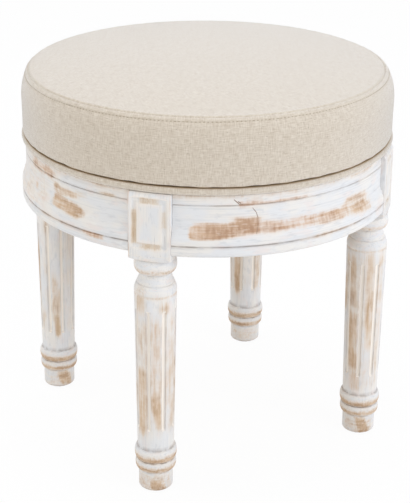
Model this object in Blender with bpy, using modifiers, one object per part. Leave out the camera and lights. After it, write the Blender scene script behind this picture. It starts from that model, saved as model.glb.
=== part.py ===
"""Round upholstered swivel stool on four turned and fluted legs, in painted and rubbed wood.

Metres, +Z up. The origin is on the floor, under the middle of the seat, and on the swivel's axis.
The legs stand on the diagonals, so the front rail of the apron faces -Y.
"""

import math

import bmesh
import bpy
from mathutils import Matrix, Vector

# Fits and facets
FIT = 0.0003
CUT_OVERRUN = 0.004
ROUND_STEPS = 40
RAIL_STEPS = 56
LEG_STEPS = 20
PLATE_STEPS = 24
PAD_STEPS = 16
SCREW_STEPS = 6
FLUTE_STEPS = 8
CROWN_STEPS = 4
BALL_STEPS = 6
BALL_RINGS = 4
MERGE_DISTANCE = 0.00001
SHARP_ANGLE = math.radians(35)

# Felt pads under the feet
PAD_THICKNESS = 0.001
PAD_INSET = 0.0038
PAD_EDGE = 0.0003

# Legs: a square block above a turned and fluted shaft
LEG_HEIGHT = 0.3519
BLOCK_SIDE = 0.0465
BLOCK_HEIGHT = 0.0687
BLOCK_PROUD = 0.0017
POMMEL_HEIGHT = 0.0067
COLLAR_HEIGHT = 0.0173
COLLAR_INSET = 0.0002
COLLAR_UNDERCUT = 0.0045
NECK_HEIGHT = 0.0030
NECK_INSET = 0.0068
COVE_HEIGHT = 0.0080
COVE_DEPTH = 0.0025
SHOULDER_HEIGHT = 0.0090
SHAFT_TOP_INSET = 0.0003
SHAFT_BOTTOM_INSET = 0.0032
RING_HEIGHT = 0.0137
RING_INSET = 0.0003
FOOT_HEIGHT = 0.0222
FOOT_INSET = 0.0045
FOOT_EDGE = 0.0025
LINE_DROP = 0.0025
LINE_WIDTH = 0.0016
LINE_DEPTH = 0.0008

# Flutes of the shaft
FLUTE_COUNT = 8
FLUTE_RADIUS = 0.0027
FLUTE_DEPTH = 0.0020
FLUTE_TOP_MARGIN = 0.0205
FLUTE_BOTTOM_MARGIN = 0.0250

# Panel groove on each block's outer face
PANEL_SIDE_MARGIN = 0.0067
PANEL_TOP_MARGIN = 0.0082
PANEL_BOTTOM_MARGIN = 0.0104
PANEL_GROOVE_RADIUS = 0.0035
PANEL_GROOVE_DEPTH = 0.0016

# Apron rails, each a moulded arc tenoned into two blocks
APRON_REACH = 0.0007
APRON_HEIGHT = 0.0679
APRON_THICKNESS = 0.0245
APRON_SETBACK = 0.0048
APRON_TOP_STRIP = 0.0113
APRON_BEAD_HEIGHT = 0.0125
APRON_SWELL_HEIGHT = 0.0180
APRON_SWELL_RISE = 0.0040
BEAD_ROUND = 0.0045
GROOVE_WIDTH = 0.0020
GROOVE_DEPTH = 0.0013
TENON_LENGTH = 0.0140
TENON_THICKNESS = 0.0090
TENON_HEIGHT = 0.0440

# Corner blocks behind the legs
BRACE_WIDTH = 0.1400
BRACE_DEPTH = 0.0280
BRACE_HEIGHT = 0.0400

# Platform on the apron, with its linen wrap
PLATFORM_THICKNESS = 0.0070
PLATFORM_MARGIN = 0.0030
WRAP_THICKNESS = 0.0008
WRAP_TURN_IN = 0.0250
WRAP_FLARE = 0.0036
WRAP_LIP_ROUND = 0.0014

# Swivel: two square plates with a ball race between
PLATE_SIDE = 0.150
PLATE_THICKNESS = 0.0015
PLATE_BORE_LEDGE = 0.0092
RACE_RADIUS = 0.060
RACE_WALL = 0.0020
RACE_WALL_HEIGHT = 0.0018
RACE_CLEARANCE = 0.0010
BALL_RADIUS = 0.00275
BALL_COUNT = 10
CAGE_WIDTH = 0.0080
CAGE_THICKNESS = 0.0010
PLATE_SCREW_INSET = 0.0120
PLATE_SCREW_COUNT = 4

# Seat
SWIVEL_GAP = 0.0020
SEAT_RADIUS = 0.2125
SEAT_HEIGHT = 0.0711
SEAM_INSET = 0.0107
CROWN_RISE = 0.0155
SHOULDER_LEAD = 0.0043
SHOULDER_DROP = 0.0330
BAND_DRAW_IN = 0.0008
BAND_EDGE = 0.0025
SEAM_DIP = 0.0012
SEAM_REACH = 0.0030
COVER_THICKNESS = 0.0010
COVER_TURN_UNDER = 0.0250
SEAT_BOARD_THICKNESS = 0.0180
RECESS_CLEARANCE = 0.0060

# Screws
SCREW_RADIUS = 0.0018
SCREW_HEAD_RADIUS = 0.0036
SCREW_HEAD_HEIGHT = 0.0018
SCREW_TIP = 0.0030
PLATE_SCREW_BITE = 0.0050
BRACE_SCREW_SPACING = 0.0960
BRACE_SCREW_BITE = 0.0120
PLATFORM_SCREW_BITE = 0.0050

# Levels, from the floor up
FOOT_Z = PAD_THICKNESS + FIT
RING_LOW_Z = FOOT_Z + FOOT_HEIGHT
RING_HIGH_Z = RING_LOW_Z + RING_HEIGHT
SHAFT_LOW_Z = RING_HIGH_Z + RING_HEIGHT
BASE_TOP_Z = FOOT_Z + LEG_HEIGHT
BLOCK_Z = BASE_TOP_Z - BLOCK_HEIGHT
COLLAR_TOP_Z = BLOCK_Z - POMMEL_HEIGHT
COLLAR_LOW_Z = COLLAR_TOP_Z - COLLAR_HEIGHT
NECK_LOW_Z = COLLAR_LOW_Z - NECK_HEIGHT
COVE_LOW_Z = NECK_LOW_Z - COVE_HEIGHT
SHAFT_TOP_Z = COVE_LOW_Z - SHOULDER_HEIGHT
APRON_LOW_Z = BASE_TOP_Z - APRON_HEIGHT
PLATFORM_Z = BASE_TOP_Z + FIT
PLATFORM_TOP_Z = PLATFORM_Z + PLATFORM_THICKNESS
WRAP_TOP_Z = PLATFORM_TOP_Z + FIT + WRAP_THICKNESS
SEAT_Z = WRAP_TOP_Z + SWIVEL_GAP
SEAM_Z = SEAT_Z + SEAT_HEIGHT
SEAT_BOARD_Z = SEAT_Z + COVER_THICKNESS + FIT
SEAT_BOARD_TOP_Z = SEAT_BOARD_Z + SEAT_BOARD_THICKNESS
LOWER_PLATE_Z = PLATFORM_TOP_Z + FIT
BALL_Z = LOWER_PLATE_Z + PLATE_THICKNESS + FIT + BALL_RADIUS
UPPER_PLATE_Z = BALL_Z + BALL_RADIUS + FIT
RECESS_Z = UPPER_PLATE_Z + PLATE_THICKNESS + FIT

# Radii and half widths that several pieces share
APRON_RADIUS = SEAT_RADIUS + APRON_REACH
BLOCK_HALF = BLOCK_SIDE / 2
BLOCK_CORNER = BLOCK_HALF * math.sqrt(2)
LEG_RADIUS = APRON_RADIUS + BLOCK_PROUD - BLOCK_HALF
BLOCK_INNER_FACE = LEG_RADIUS - BLOCK_HALF
SHAFT_TOP_RADIUS = BLOCK_HALF - SHAFT_TOP_INSET
SHAFT_BOTTOM_RADIUS = BLOCK_HALF - SHAFT_BOTTOM_INSET
NECK_RADIUS = BLOCK_HALF - NECK_INSET
FOOT_RADIUS = BLOCK_HALF - FOOT_INSET
PAD_RADIUS = FOOT_RADIUS - PAD_INSET
APRON_TOP_RADIUS = APRON_RADIUS - APRON_SETBACK
APRON_INNER_RADIUS = APRON_RADIUS - APRON_THICKNESS
RAIL_SHOULDER = BLOCK_HALF + FIT
TENON_RADIUS = (APRON_INNER_RADIUS + APRON_TOP_RADIUS) / 2
TENON_X = math.sqrt(TENON_RADIUS ** 2 - RAIL_SHOULDER ** 2)
TENON_LOW_Z = APRON_LOW_Z + (APRON_HEIGHT - TENON_HEIGHT) / 2
BRACE_FACE = BLOCK_INNER_FACE - BRACE_DEPTH
BRACE_Z = BASE_TOP_Z - BRACE_HEIGHT
BRACE_RADIUS = APRON_INNER_RADIUS - FIT
PLATFORM_RADIUS = APRON_TOP_RADIUS - PLATFORM_MARGIN
PLATE_SCREW_RADIUS = PLATE_SIDE / math.sqrt(2) - PLATE_SCREW_INSET
SEAM_RADIUS = SEAT_RADIUS - SEAM_INSET
SHOULDER_WIDTH = SEAM_INSET + SHOULDER_LEAD
RACE_CHANNEL = BALL_RADIUS + RACE_CLEARANCE
PLATE_BORE_RADIUS = RACE_RADIUS - RACE_CHANNEL - RACE_WALL - PLATE_BORE_LEDGE
RECESS_RADIUS = PLATE_SIDE / math.sqrt(2) + RECESS_CLEARANCE
UPPER_PLATE_TURN = math.radians(45)

LEG_ANGLES = {
    "front_left": math.radians(-135),
    "front_right": math.radians(-45),
    "back_right": math.radians(45),
    "back_left": math.radians(135),
}
RAIL_ANGLES = {
    "front": math.radians(-90),
    "right": math.radians(0),
    "back": math.radians(90),
    "left": math.radians(180),
}


# Scene, materials and objects

def clear_scene():
    for obj in list(bpy.data.objects):
        bpy.data.objects.remove(obj, do_unlink=True)


def new_collection(name):
    collection = bpy.data.collections.new(name)
    bpy.context.scene.collection.children.link(collection)
    return collection


def material(name, color, roughness, metallic=0.0):
    made = bpy.data.materials.new(name)
    made.use_nodes = True
    shader = made.node_tree.nodes["Principled BSDF"]
    shader.inputs["Base Color"].default_value = (*color, 1.0)
    shader.inputs["Roughness"].default_value = roughness
    shader.inputs["Metallic"].default_value = metallic
    return made


def add_empty(name, collection):
    empty = bpy.data.objects.new(name, None)
    collection.objects.link(empty)
    return empty


def add_object(name, mesh, collection):
    obj = bpy.data.objects.new(name, mesh)
    collection.objects.link(obj)
    return obj


def add_cutter(name, mesh):
    """A shape that only cuts, joins or trims a part."""
    obj = add_object(name, mesh, CUTTERS)
    obj.hide_render = True
    obj.display_type = "WIRE"
    return obj


def add_part(name, mesh, finish, parent, angle=0.0):
    """One piece of the stool, turned about the stool's axis and hung on its body's empty."""
    obj = add_object(name, mesh, PARTS)
    if finish.name not in mesh.materials:
        mesh.materials.append(finish)
    obj.rotation_euler.z = angle
    obj.parent = parent
    return obj


def smooth(mesh):
    mesh.shade_smooth()
    mesh.set_sharp_from_angle(angle=SHARP_ANGLE)
    return mesh


# Basic shapes

def arc(centre, radii, start, stop, count):
    """Points on an ellipse about centre, from start to stop degrees."""
    points = []
    for step in range(count):
        angle = math.radians(start + (stop - start) * step / (count - 1))
        points.append((centre[0] + radii[0] * math.cos(angle), centre[1] + radii[1] * math.sin(angle)))
    return points


def box_mesh(name, low, high):
    shape = bmesh.new()
    size = Vector(high) - Vector(low)
    middle = (Vector(high) + Vector(low)) / 2
    bmesh.ops.create_cube(shape, size=1.0, matrix=Matrix.Translation(middle) @ Matrix.Diagonal((*size, 1.0)))
    mesh = bpy.data.meshes.new(name)
    shape.to_mesh(mesh)
    shape.free()
    return mesh


def rod_mesh(name, radius, start, end, steps=SCREW_STEPS):
    """A closed cylinder between two points."""
    start = Vector(start)
    end = Vector(end)
    turn = (end - start).to_track_quat("Z", "Y").to_matrix().to_4x4()
    shape = bmesh.new()
    bmesh.ops.create_cone(
        shape, cap_ends=True, segments=steps, radius1=radius, radius2=radius,
        depth=(end - start).length, matrix=Matrix.Translation((start + end) / 2) @ turn)
    mesh = bpy.data.meshes.new(name)
    shape.to_mesh(mesh)
    shape.free()
    return mesh


def profile_mesh(name, outline, closed):
    """A chain of edges in the XZ plane, from (radius, height) pairs."""
    mesh = bpy.data.meshes.new(name)
    points = [(radius, 0.0, height) for radius, height in outline]
    edges = [(index, index + 1) for index in range(len(points) - 1)]
    if closed:
        edges.append((len(points) - 1, 0))
    mesh.from_pydata(points, edges, [])
    return mesh


def baked(obj):
    """The evaluated mesh of an object that is then removed."""
    graph = bpy.context.evaluated_depsgraph_get()
    mesh = bpy.data.meshes.new_from_object(obj.evaluated_get(graph), depsgraph=graph)
    mesh.name = obj.name
    mesh.transform(obj.matrix_world)
    bpy.data.objects.remove(obj, do_unlink=True)
    return mesh


def turned(name, outline, steps, closed=False):
    """A turned solid: the outline runs down its outer side, and closed outlines make rings."""
    obj = add_cutter(name, profile_mesh(name, outline, closed))
    screw = obj.modifiers.new("turning", "SCREW")
    screw.axis = "Z"
    screw.angle = math.tau
    screw.steps = steps
    screw.render_steps = steps
    screw.use_merge_vertices = True
    screw.merge_threshold = MERGE_DISTANCE
    return baked(obj)


def combined(name, mesh, *operations):
    """The mesh after a row of Booleans, each given as (operation, other mesh)."""
    obj = add_cutter(name, mesh)
    for index, (operation, other) in enumerate(operations):
        tool = add_cutter(f"{name}_tool_{index}", other)
        modifier = obj.modifiers.new(f"{operation.lower()}_{index}", "BOOLEAN")
        modifier.operation = operation
        modifier.solver = "EXACT"
        modifier.object = tool
    return baked(obj)


def joined(name, meshes):
    """Several closed bodies in one mesh, for use as one cutter."""
    shape = bmesh.new()
    for mesh in meshes:
        shape.from_mesh(mesh)
    result = bpy.data.meshes.new(name)
    shape.to_mesh(result)
    shape.free()
    return result


def moved(mesh, matrix):
    copy = mesh.copy()
    copy.transform(matrix)
    return copy


def turned_about(angle):
    return Matrix.Rotation(angle, 4, "Z")


def offset_inward(outline, distance):
    """The outline moved square to itself, towards the inside of a shape it runs down the outside of."""
    result = []
    for index, point in enumerate(outline):
        before = Vector(outline[max(index - 1, 0)])
        after = Vector(outline[min(index + 1, len(outline) - 1)])
        along = (after - before).normalized()
        inward = Vector((along.y, -along.x))
        result.append((max(point[0] + inward.x * distance, 0.0), point[1] + inward.y * distance))
    return result


def between_levels(outline, high, low):
    """The stretch of a falling outline from one level to a lower one, with its ends on those levels."""
    result = []
    for (r_a, z_a), (r_b, z_b) in zip(outline, outline[1:]):
        for level in (high, low):
            if z_b < level <= z_a:
                share = (z_a - level) / (z_a - z_b)
                result.append((r_a + (r_b - r_a) * share, level))
        if low < z_b < high:
            result.append((r_b, z_b))
    return result


# Legs

def shaft_radius(height):
    share = (height - SHAFT_LOW_Z) / (SHAFT_TOP_Z - SHAFT_LOW_Z)
    return SHAFT_BOTTOM_RADIUS + (SHAFT_TOP_RADIUS - SHAFT_BOTTOM_RADIUS) * share


def foot_outline():
    edge = arc((FOOT_RADIUS - FOOT_EDGE, FOOT_Z + FOOT_EDGE), (FOOT_EDGE, FOOT_EDGE), -90, 0, 3)
    return [(0.0, FOOT_Z), *edge, (FOOT_RADIUS, RING_LOW_Z)]


def ring_outline(low):
    """One half-round ring, from its lower root to its upper root."""
    reach = BLOCK_HALF - RING_INSET - SHAFT_BOTTOM_RADIUS
    return arc((SHAFT_BOTTOM_RADIUS, low + RING_HEIGHT / 2), (reach, RING_HEIGHT / 2), -90, 90, 5)


def line_outline():
    """The fine ring line cut round the top of the shaft."""
    middle = SHAFT_TOP_Z - LINE_DROP
    low = middle - LINE_WIDTH / 2
    high = middle + LINE_WIDTH / 2
    return [
        (shaft_radius(low), low),
        (shaft_radius(middle) - LINE_DEPTH, middle),
        (shaft_radius(high), high),
    ]


def neck_outline():
    """Rounded shoulder, cove and neck above the shaft."""
    cove_radius = NECK_RADIUS + COVE_DEPTH
    shoulder = arc(
        (cove_radius, SHAFT_TOP_Z), (SHAFT_TOP_RADIUS - cove_radius, SHOULDER_HEIGHT), 0, 90, 3)
    cove = arc((cove_radius, NECK_LOW_Z), (COVE_DEPTH, COVE_HEIGHT), 270, 180, 3)
    return [*shoulder, *cove[1:], (NECK_RADIUS, COLLAR_LOW_Z)]


def collar_outline():
    """The swelling collar under the block, up to the line that parts them."""
    root = BLOCK_HALF - COLLAR_INSET - COLLAR_UNDERCUT
    half = COLLAR_HEIGHT / 2
    under = arc((root, COLLAR_LOW_Z + half), (COLLAR_UNDERCUT, half), -90, 0, 3)
    over = arc((root, COLLAR_LOW_Z + half), (COLLAR_UNDERCUT, half), 0, 60, 3)
    return [*under, *over[1:], (root + COLLAR_UNDERCUT / 2 - LINE_DEPTH, COLLAR_TOP_Z)]


def pommel_outline():
    """The rounded end of the square, turned through its corners."""
    root = BLOCK_HALF - COLLAR_INSET - COLLAR_UNDERCUT / 2
    reach = BLOCK_CORNER + CUT_OVERRUN
    return [
        *arc((root, BLOCK_Z), (reach - root, POMMEL_HEIGHT), 275, 360, 4),
        (reach, BASE_TOP_Z),
        (0.0, BASE_TOP_Z),
    ]


def leg_outline():
    """The leg's half outline, from the middle of its top down to the middle of its foot."""
    rising = [
        *foot_outline(),
        *ring_outline(RING_LOW_Z),
        *ring_outline(RING_HIGH_Z)[1:],
        *line_outline(),
        *neck_outline(),
        *collar_outline(),
        *pommel_outline(),
    ]
    return rising[::-1]


def flute_mesh():
    """Round-ended rods that lie along the tapered shaft, evenly spaced round it."""
    top = SHAFT_TOP_Z - FLUTE_TOP_MARGIN - FLUTE_RADIUS
    low = SHAFT_LOW_Z + FLUTE_BOTTOM_MARGIN + FLUTE_RADIUS
    upper = arc((0.0, top), (FLUTE_RADIUS, FLUTE_RADIUS), 90, 0, 3)
    lower = arc((0.0, low), (FLUTE_RADIUS, FLUTE_RADIUS), 0, -90, 3)
    rod = turned("flute", [*upper, *lower], FLUTE_STEPS)
    middle = (top + low) / 2
    lean = math.atan2(SHAFT_TOP_RADIUS - SHAFT_BOTTOM_RADIUS, SHAFT_TOP_Z - SHAFT_LOW_Z)
    distance = shaft_radius(middle) + FLUTE_RADIUS - FLUTE_DEPTH
    upright = Matrix.Translation((0, 0, middle)) @ Matrix.Rotation(lean, 4, "Y")
    placed = Matrix.Translation((distance, 0, 0)) @ upright @ Matrix.Translation((0, 0, -middle))
    turns = [math.tau * index / FLUTE_COUNT for index in range(FLUTE_COUNT)]
    return joined("flutes", [moved(rod, turned_about(turn) @ placed) for turn in turns])


def panel_groove_mesh():
    """A round-bottomed groove that runs round a rectangle on the block's outer face."""
    half_width = BLOCK_HALF - PANEL_SIDE_MARGIN
    low = BLOCK_Z + PANEL_BOTTOM_MARGIN
    high = BASE_TOP_Z - PANEL_TOP_MARGIN
    face = BLOCK_HALF + PANEL_GROOVE_RADIUS - PANEL_GROOVE_DEPTH
    curve = bpy.data.curves.new("panel_groove", "CURVE")
    curve.dimensions = "3D"
    curve.bevel_depth = PANEL_GROOVE_RADIUS
    curve.bevel_resolution = 2
    spline = curve.splines.new("POLY")
    corners = [(-half_width, low), (half_width, low), (half_width, high), (-half_width, high)]
    spline.points.add(len(corners) - 1)
    for point, (across, height) in zip(spline.points, corners):
        point.co = (face, across, height, 1.0)
    spline.use_cyclic_u = True
    return baked(add_object("panel_groove", curve, CUTTERS))


def mortise_mesh(side):
    """The slot in one side of the block, with clearance round the rail's tenon."""
    x_middle = TENON_X - LEG_RADIUS
    half = TENON_THICKNESS / 2 + FIT
    depth = RAIL_SHOULDER - TENON_LENGTH - FIT
    inner, outer = sorted((side * depth, side * (BLOCK_HALF + CUT_OVERRUN)))
    return box_mesh(
        "mortise",
        (x_middle - half, inner, TENON_LOW_Z - FIT),
        (x_middle + half, outer, TENON_LOW_Z + TENON_HEIGHT + FIT))


def leg_mesh():
    """One leg on its own axis, with the block's outer face towards +X."""
    square = box_mesh(
        "leg_square",
        (-BLOCK_HALF, -BLOCK_HALF, FOOT_Z - CUT_OVERRUN),
        (BLOCK_HALF, BLOCK_HALF, BASE_TOP_Z + CUT_OVERRUN))
    mesh = combined(
        "leg", turned("leg_turning", leg_outline(), LEG_STEPS),
        ("INTERSECT", square),
        ("DIFFERENCE", flute_mesh()),
        ("DIFFERENCE", panel_groove_mesh()),
        ("DIFFERENCE", mortise_mesh(1)),
        ("DIFFERENCE", mortise_mesh(-1)))
    return smooth(moved(mesh, Matrix.Translation((LEG_RADIUS, 0, 0))))


def pad_mesh():
    outline = [
        (0.0, PAD_THICKNESS),
        *arc((PAD_RADIUS - PAD_EDGE, PAD_THICKNESS - PAD_EDGE), (PAD_EDGE, PAD_EDGE), 90, 0, 2),
        (PAD_RADIUS, 0.0),
        (0.0, 0.0),
    ]
    pad = turned("foot_pad", outline, PAD_STEPS)
    return smooth(moved(pad, Matrix.Translation((LEG_RADIUS, 0, 0))))


# Apron

def rail_outline():
    """Moulded section of the apron, down its outer side and back up the inner side."""
    strip_low = BASE_TOP_Z - APRON_TOP_STRIP
    bead_top = APRON_LOW_Z + APRON_BEAD_HEIGHT
    swell_low = bead_top + GROOVE_WIDTH / 2 + APRON_SWELL_RISE
    swell_high = swell_low + APRON_SWELL_HEIGHT
    curve = (APRON_SETBACK, APRON_SWELL_HEIGHT / 2)
    hollow = arc((APRON_RADIUS, swell_high), curve, 180, 240, 3)
    swell = arc((APRON_TOP_RADIUS, swell_low), curve, 60, 0, 3)
    bead = arc(
        (APRON_RADIUS - BEAD_ROUND, APRON_LOW_Z + BEAD_ROUND), (BEAD_ROUND, BEAD_ROUND), 0, -90, 4)
    return [
        (APRON_TOP_RADIUS, BASE_TOP_Z),
        (APRON_TOP_RADIUS, strip_low + GROOVE_WIDTH / 2),
        (APRON_TOP_RADIUS - GROOVE_DEPTH, strip_low),
        (APRON_TOP_RADIUS, strip_low - GROOVE_WIDTH / 2),
        *hollow,
        *swell,
        (APRON_RADIUS, bead_top + GROOVE_WIDTH / 2),
        (APRON_RADIUS - GROOVE_DEPTH, bead_top),
        (APRON_RADIUS, bead_top - GROOVE_WIDTH / 2),
        *bead,
        (APRON_INNER_RADIUS, APRON_LOW_Z),
        (APRON_INNER_RADIUS, BASE_TOP_Z),
    ]


def tenon_mesh():
    """The tenon at the rail's end beside the leg on +X. It overlaps the rail to join it."""
    half = TENON_THICKNESS / 2
    return box_mesh(
        "tenon",
        (TENON_X - half, RAIL_SHOULDER - TENON_LENGTH, TENON_LOW_Z),
        (TENON_X + half, RAIL_SHOULDER + CUT_OVERRUN, TENON_LOW_Z + TENON_HEIGHT))


def mirrored_across_diagonal(mesh):
    """The shape on the other end of a rail that spans from +X to +Y."""
    copy = moved(mesh, Matrix(((0, 1, 0, 0), (1, 0, 0, 0), (0, 0, 1, 0), (0, 0, 0, 1))))
    copy.flip_normals()
    return copy


def brace_screw_line(side):
    """Start under the head and end of the tip of one screw through the corner block on +X."""
    across = side * BRACE_SCREW_SPACING / 2
    meeting = math.sqrt(BRACE_RADIUS ** 2 - across ** 2)
    height = BRACE_Z + BRACE_HEIGHT / 2
    start = Vector((BRACE_FACE - FIT, across, height))
    end = Vector((meeting + BRACE_SCREW_BITE, across, height))
    return start, end


def screw_hole_mesh(start, end):
    """A clearance hole for a screw, open past its start and just deeper than its tip."""
    along = (end - start).normalized()
    return rod_mesh("screw_hole", SCREW_RADIUS + FIT, start - along * CUT_OVERRUN, end + along * FIT)


def rail_mesh():
    """The rail between the leg on +X and the leg on +Y."""
    ring = turned("apron_ring", rail_outline(), RAIL_STEPS, closed=True)
    reach = APRON_RADIUS + CUT_OVERRUN
    quarter = box_mesh(
        "apron_quarter",
        (RAIL_SHOULDER, RAIL_SHOULDER, APRON_LOW_Z - CUT_OVERRUN),
        (reach, reach, BASE_TOP_Z + CUT_OVERRUN))
    tenon = tenon_mesh()
    hole = screw_hole_mesh(*brace_screw_line(1))
    mesh = combined(
        "apron_rail", ring,
        ("INTERSECT", quarter),
        ("UNION", tenon),
        ("UNION", mirrored_across_diagonal(tenon)),
        ("DIFFERENCE", hole),
        ("DIFFERENCE", mirrored_across_diagonal(hole)))
    return smooth(mesh)


def platform_screw_line():
    """Start under the head and end of the tip of the screw up through the corner block on +X."""
    across = BRACE_FACE + BRACE_DEPTH / 2
    start = Vector((across, 0, BRACE_Z - FIT))
    return start, Vector((across, 0, PLATFORM_Z + PLATFORM_SCREW_BITE))


def brace_mesh():
    """The corner block behind the leg on +X, shaped to the two rails and the leg's block."""
    disc = turned("brace_disc", [
        (0.0, BASE_TOP_Z), (BRACE_RADIUS, BASE_TOP_Z), (BRACE_RADIUS, BRACE_Z), (0.0, BRACE_Z)], RAIL_STEPS)
    outer = APRON_RADIUS + CUT_OVERRUN
    segment = box_mesh(
        "brace_segment",
        (BRACE_FACE, -BRACE_WIDTH / 2, BRACE_Z - CUT_OVERRUN),
        (outer, BRACE_WIDTH / 2, BASE_TOP_Z + CUT_OVERRUN))
    pocket = box_mesh(
        "brace_pocket",
        (BLOCK_INNER_FACE - FIT, -RAIL_SHOULDER, BRACE_Z - CUT_OVERRUN),
        (outer, RAIL_SHOULDER, BASE_TOP_Z + CUT_OVERRUN))
    return combined(
        "corner_block", disc,
        ("INTERSECT", segment),
        ("DIFFERENCE", pocket),
        ("DIFFERENCE", screw_hole_mesh(*brace_screw_line(1))),
        ("DIFFERENCE", screw_hole_mesh(*brace_screw_line(-1))),
        ("DIFFERENCE", screw_hole_mesh(*platform_screw_line())))


# Screws

def screw_mesh(name, start, end):
    """A round-headed screw whose head sits against start and whose tip is at end."""
    length = (end - start).length
    outline = [
        *arc((0.0, 0.0), (SCREW_HEAD_RADIUS, SCREW_HEAD_HEIGHT), 90, 0, 3),
        (SCREW_RADIUS, 0.0),
        (SCREW_RADIUS, -(length - SCREW_TIP)),
        (0.0, -length),
    ]
    turn = (start - end).to_track_quat("Z", "Y").to_matrix().to_4x4()
    placed = Matrix.Translation(start) @ turn
    return smooth(moved(turned(name, outline, SCREW_STEPS), placed))


# Platform

def platform_outline():
    return [
        (0.0, PLATFORM_TOP_Z),
        (PLATFORM_RADIUS, PLATFORM_TOP_Z),
        (PLATFORM_RADIUS, PLATFORM_Z),
        (0.0, PLATFORM_Z),
    ]


def plate_corner(index):
    return math.tau * (index + 0.5) / PLATE_SCREW_COUNT


def plate_screw_line(angle, start_z, end_z):
    across = Vector((math.cos(angle), math.sin(angle), 0)) * PLATE_SCREW_RADIUS
    return across + Vector((0, 0, start_z)), across + Vector((0, 0, end_z))


def lower_screw_line(index):
    start_z = LOWER_PLATE_Z + PLATE_THICKNESS + FIT
    return plate_screw_line(plate_corner(index), start_z, PLATFORM_TOP_Z - PLATE_SCREW_BITE)


def upper_screw_line(index):
    angle = plate_corner(index) + UPPER_PLATE_TURN
    return plate_screw_line(angle, UPPER_PLATE_Z - FIT, RECESS_Z + PLATE_SCREW_BITE)


def platform_board_mesh():
    holes = [screw_hole_mesh(*lower_screw_line(index)) for index in range(PLATE_SCREW_COUNT)]
    up = screw_hole_mesh(*platform_screw_line())
    holes += [moved(up, turned_about(angle)) for angle in LEG_ANGLES.values()]
    return combined(
        "platform_board", turned("platform_disc", platform_outline(), ROUND_STEPS),
        ("DIFFERENCE", joined("platform_holes", holes)))


def platform_wrap_mesh():
    """Linen round the platform's edge: it flares to a soft lip and turns in over the top."""
    inner = PLATFORM_RADIUS + FIT
    low = APRON_TOP_RADIUS
    lip = low + WRAP_FLARE
    rise = WRAP_TOP_Z - WRAP_LIP_ROUND - PLATFORM_Z
    flare = arc((low, WRAP_TOP_Z - WRAP_LIP_ROUND), (WRAP_FLARE, rise), 0, -90, 5)
    round_over = arc(
        (lip - WRAP_LIP_ROUND, WRAP_TOP_Z - WRAP_LIP_ROUND), (WRAP_LIP_ROUND, WRAP_LIP_ROUND), 90, 0, 4)
    outline = [
        (inner - WRAP_TURN_IN, WRAP_TOP_Z),
        *round_over,
        *flare[1:],
        (inner, PLATFORM_Z),
        (inner, PLATFORM_TOP_Z + FIT),
        (inner - WRAP_TURN_IN, PLATFORM_TOP_Z + FIT),
    ]
    return smooth(turned("platform_wrap", outline, ROUND_STEPS, closed=True))


# Swivel

def race_outline(face, away):
    """Two low walls of a ball race on a plate: face is the plate's inner face, away points off it."""
    top = face + away * RACE_WALL_HEIGHT
    root = face - away * PLATE_THICKNESS / 2
    walls = []
    for near in (RACE_RADIUS + RACE_CHANNEL, RACE_RADIUS - RACE_CHANNEL - RACE_WALL):
        high, low = max(top, root), min(top, root)
        walls.append([(near + RACE_WALL, high), (near + RACE_WALL, low), (near, low), (near, high)])
    return walls


def plate_mesh(name, low, away):
    """A square swivel plate with its bore, ball race and screw holes."""
    half = PLATE_SIDE / 2
    high = low + PLATE_THICKNESS
    face = high if away > 0 else low
    operations = [("DIFFERENCE", rod_mesh(
        "plate_bore", PLATE_BORE_RADIUS, (0, 0, low - CUT_OVERRUN), (0, 0, high + CUT_OVERRUN), PLATE_STEPS))]
    for wall in race_outline(face, away):
        operations.append(("UNION", turned("race_wall", wall, PLATE_STEPS, closed=True)))
    for index in range(PLATE_SCREW_COUNT):
        start, end = plate_screw_line(plate_corner(index), low - CUT_OVERRUN, high + CUT_OVERRUN)
        operations.append(("DIFFERENCE", rod_mesh("plate_hole", SCREW_RADIUS + FIT, start, end)))
    return combined(name, box_mesh(name, (-half, -half, low), (half, half, high)), *operations)


def ball_cage_mesh():
    """A flat ring that carries the balls at even spacing."""
    half = CAGE_THICKNESS / 2
    inner = RACE_RADIUS - CAGE_WIDTH / 2
    outer = RACE_RADIUS + CAGE_WIDTH / 2
    ring = turned("cage_ring", [
        (outer, BALL_Z + half), (outer, BALL_Z - half), (inner, BALL_Z - half), (inner, BALL_Z + half)],
        PLATE_STEPS, closed=True)
    balls = []
    for index in range(BALL_COUNT):
        angle = math.tau * index / BALL_COUNT
        place = Matrix.Translation((RACE_RADIUS * math.cos(angle), RACE_RADIUS * math.sin(angle), BALL_Z))
        shape = bmesh.new()
        bmesh.ops.create_uvsphere(
            shape, u_segments=BALL_STEPS, v_segments=BALL_RINGS, radius=BALL_RADIUS, matrix=place)
        ball = bpy.data.meshes.new("ball")
        shape.to_mesh(ball)
        shape.free()
        balls.append(ball)
    return smooth(combined("swivel_ball_cage", ring, ("UNION", joined("balls", balls))))


# Seat

def crown_outline():
    """The crowned top, from its middle to the seam."""
    ball = (SEAM_RADIUS ** 2 + CROWN_RISE ** 2) / (2 * CROWN_RISE)
    points = []
    for step in range(CROWN_STEPS + 1):
        radius = (SEAM_RADIUS - SEAM_REACH) * step / CROWN_STEPS
        points.append((radius, SEAM_Z + CROWN_RISE - ball + math.sqrt(ball ** 2 - radius ** 2)))
    return points


def shoulder_angle():
    """Where the seam lies on the shoulder's ellipse, in degrees from its top."""
    return math.degrees(math.asin(SHOULDER_LEAD / SHOULDER_WIDTH))


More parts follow.
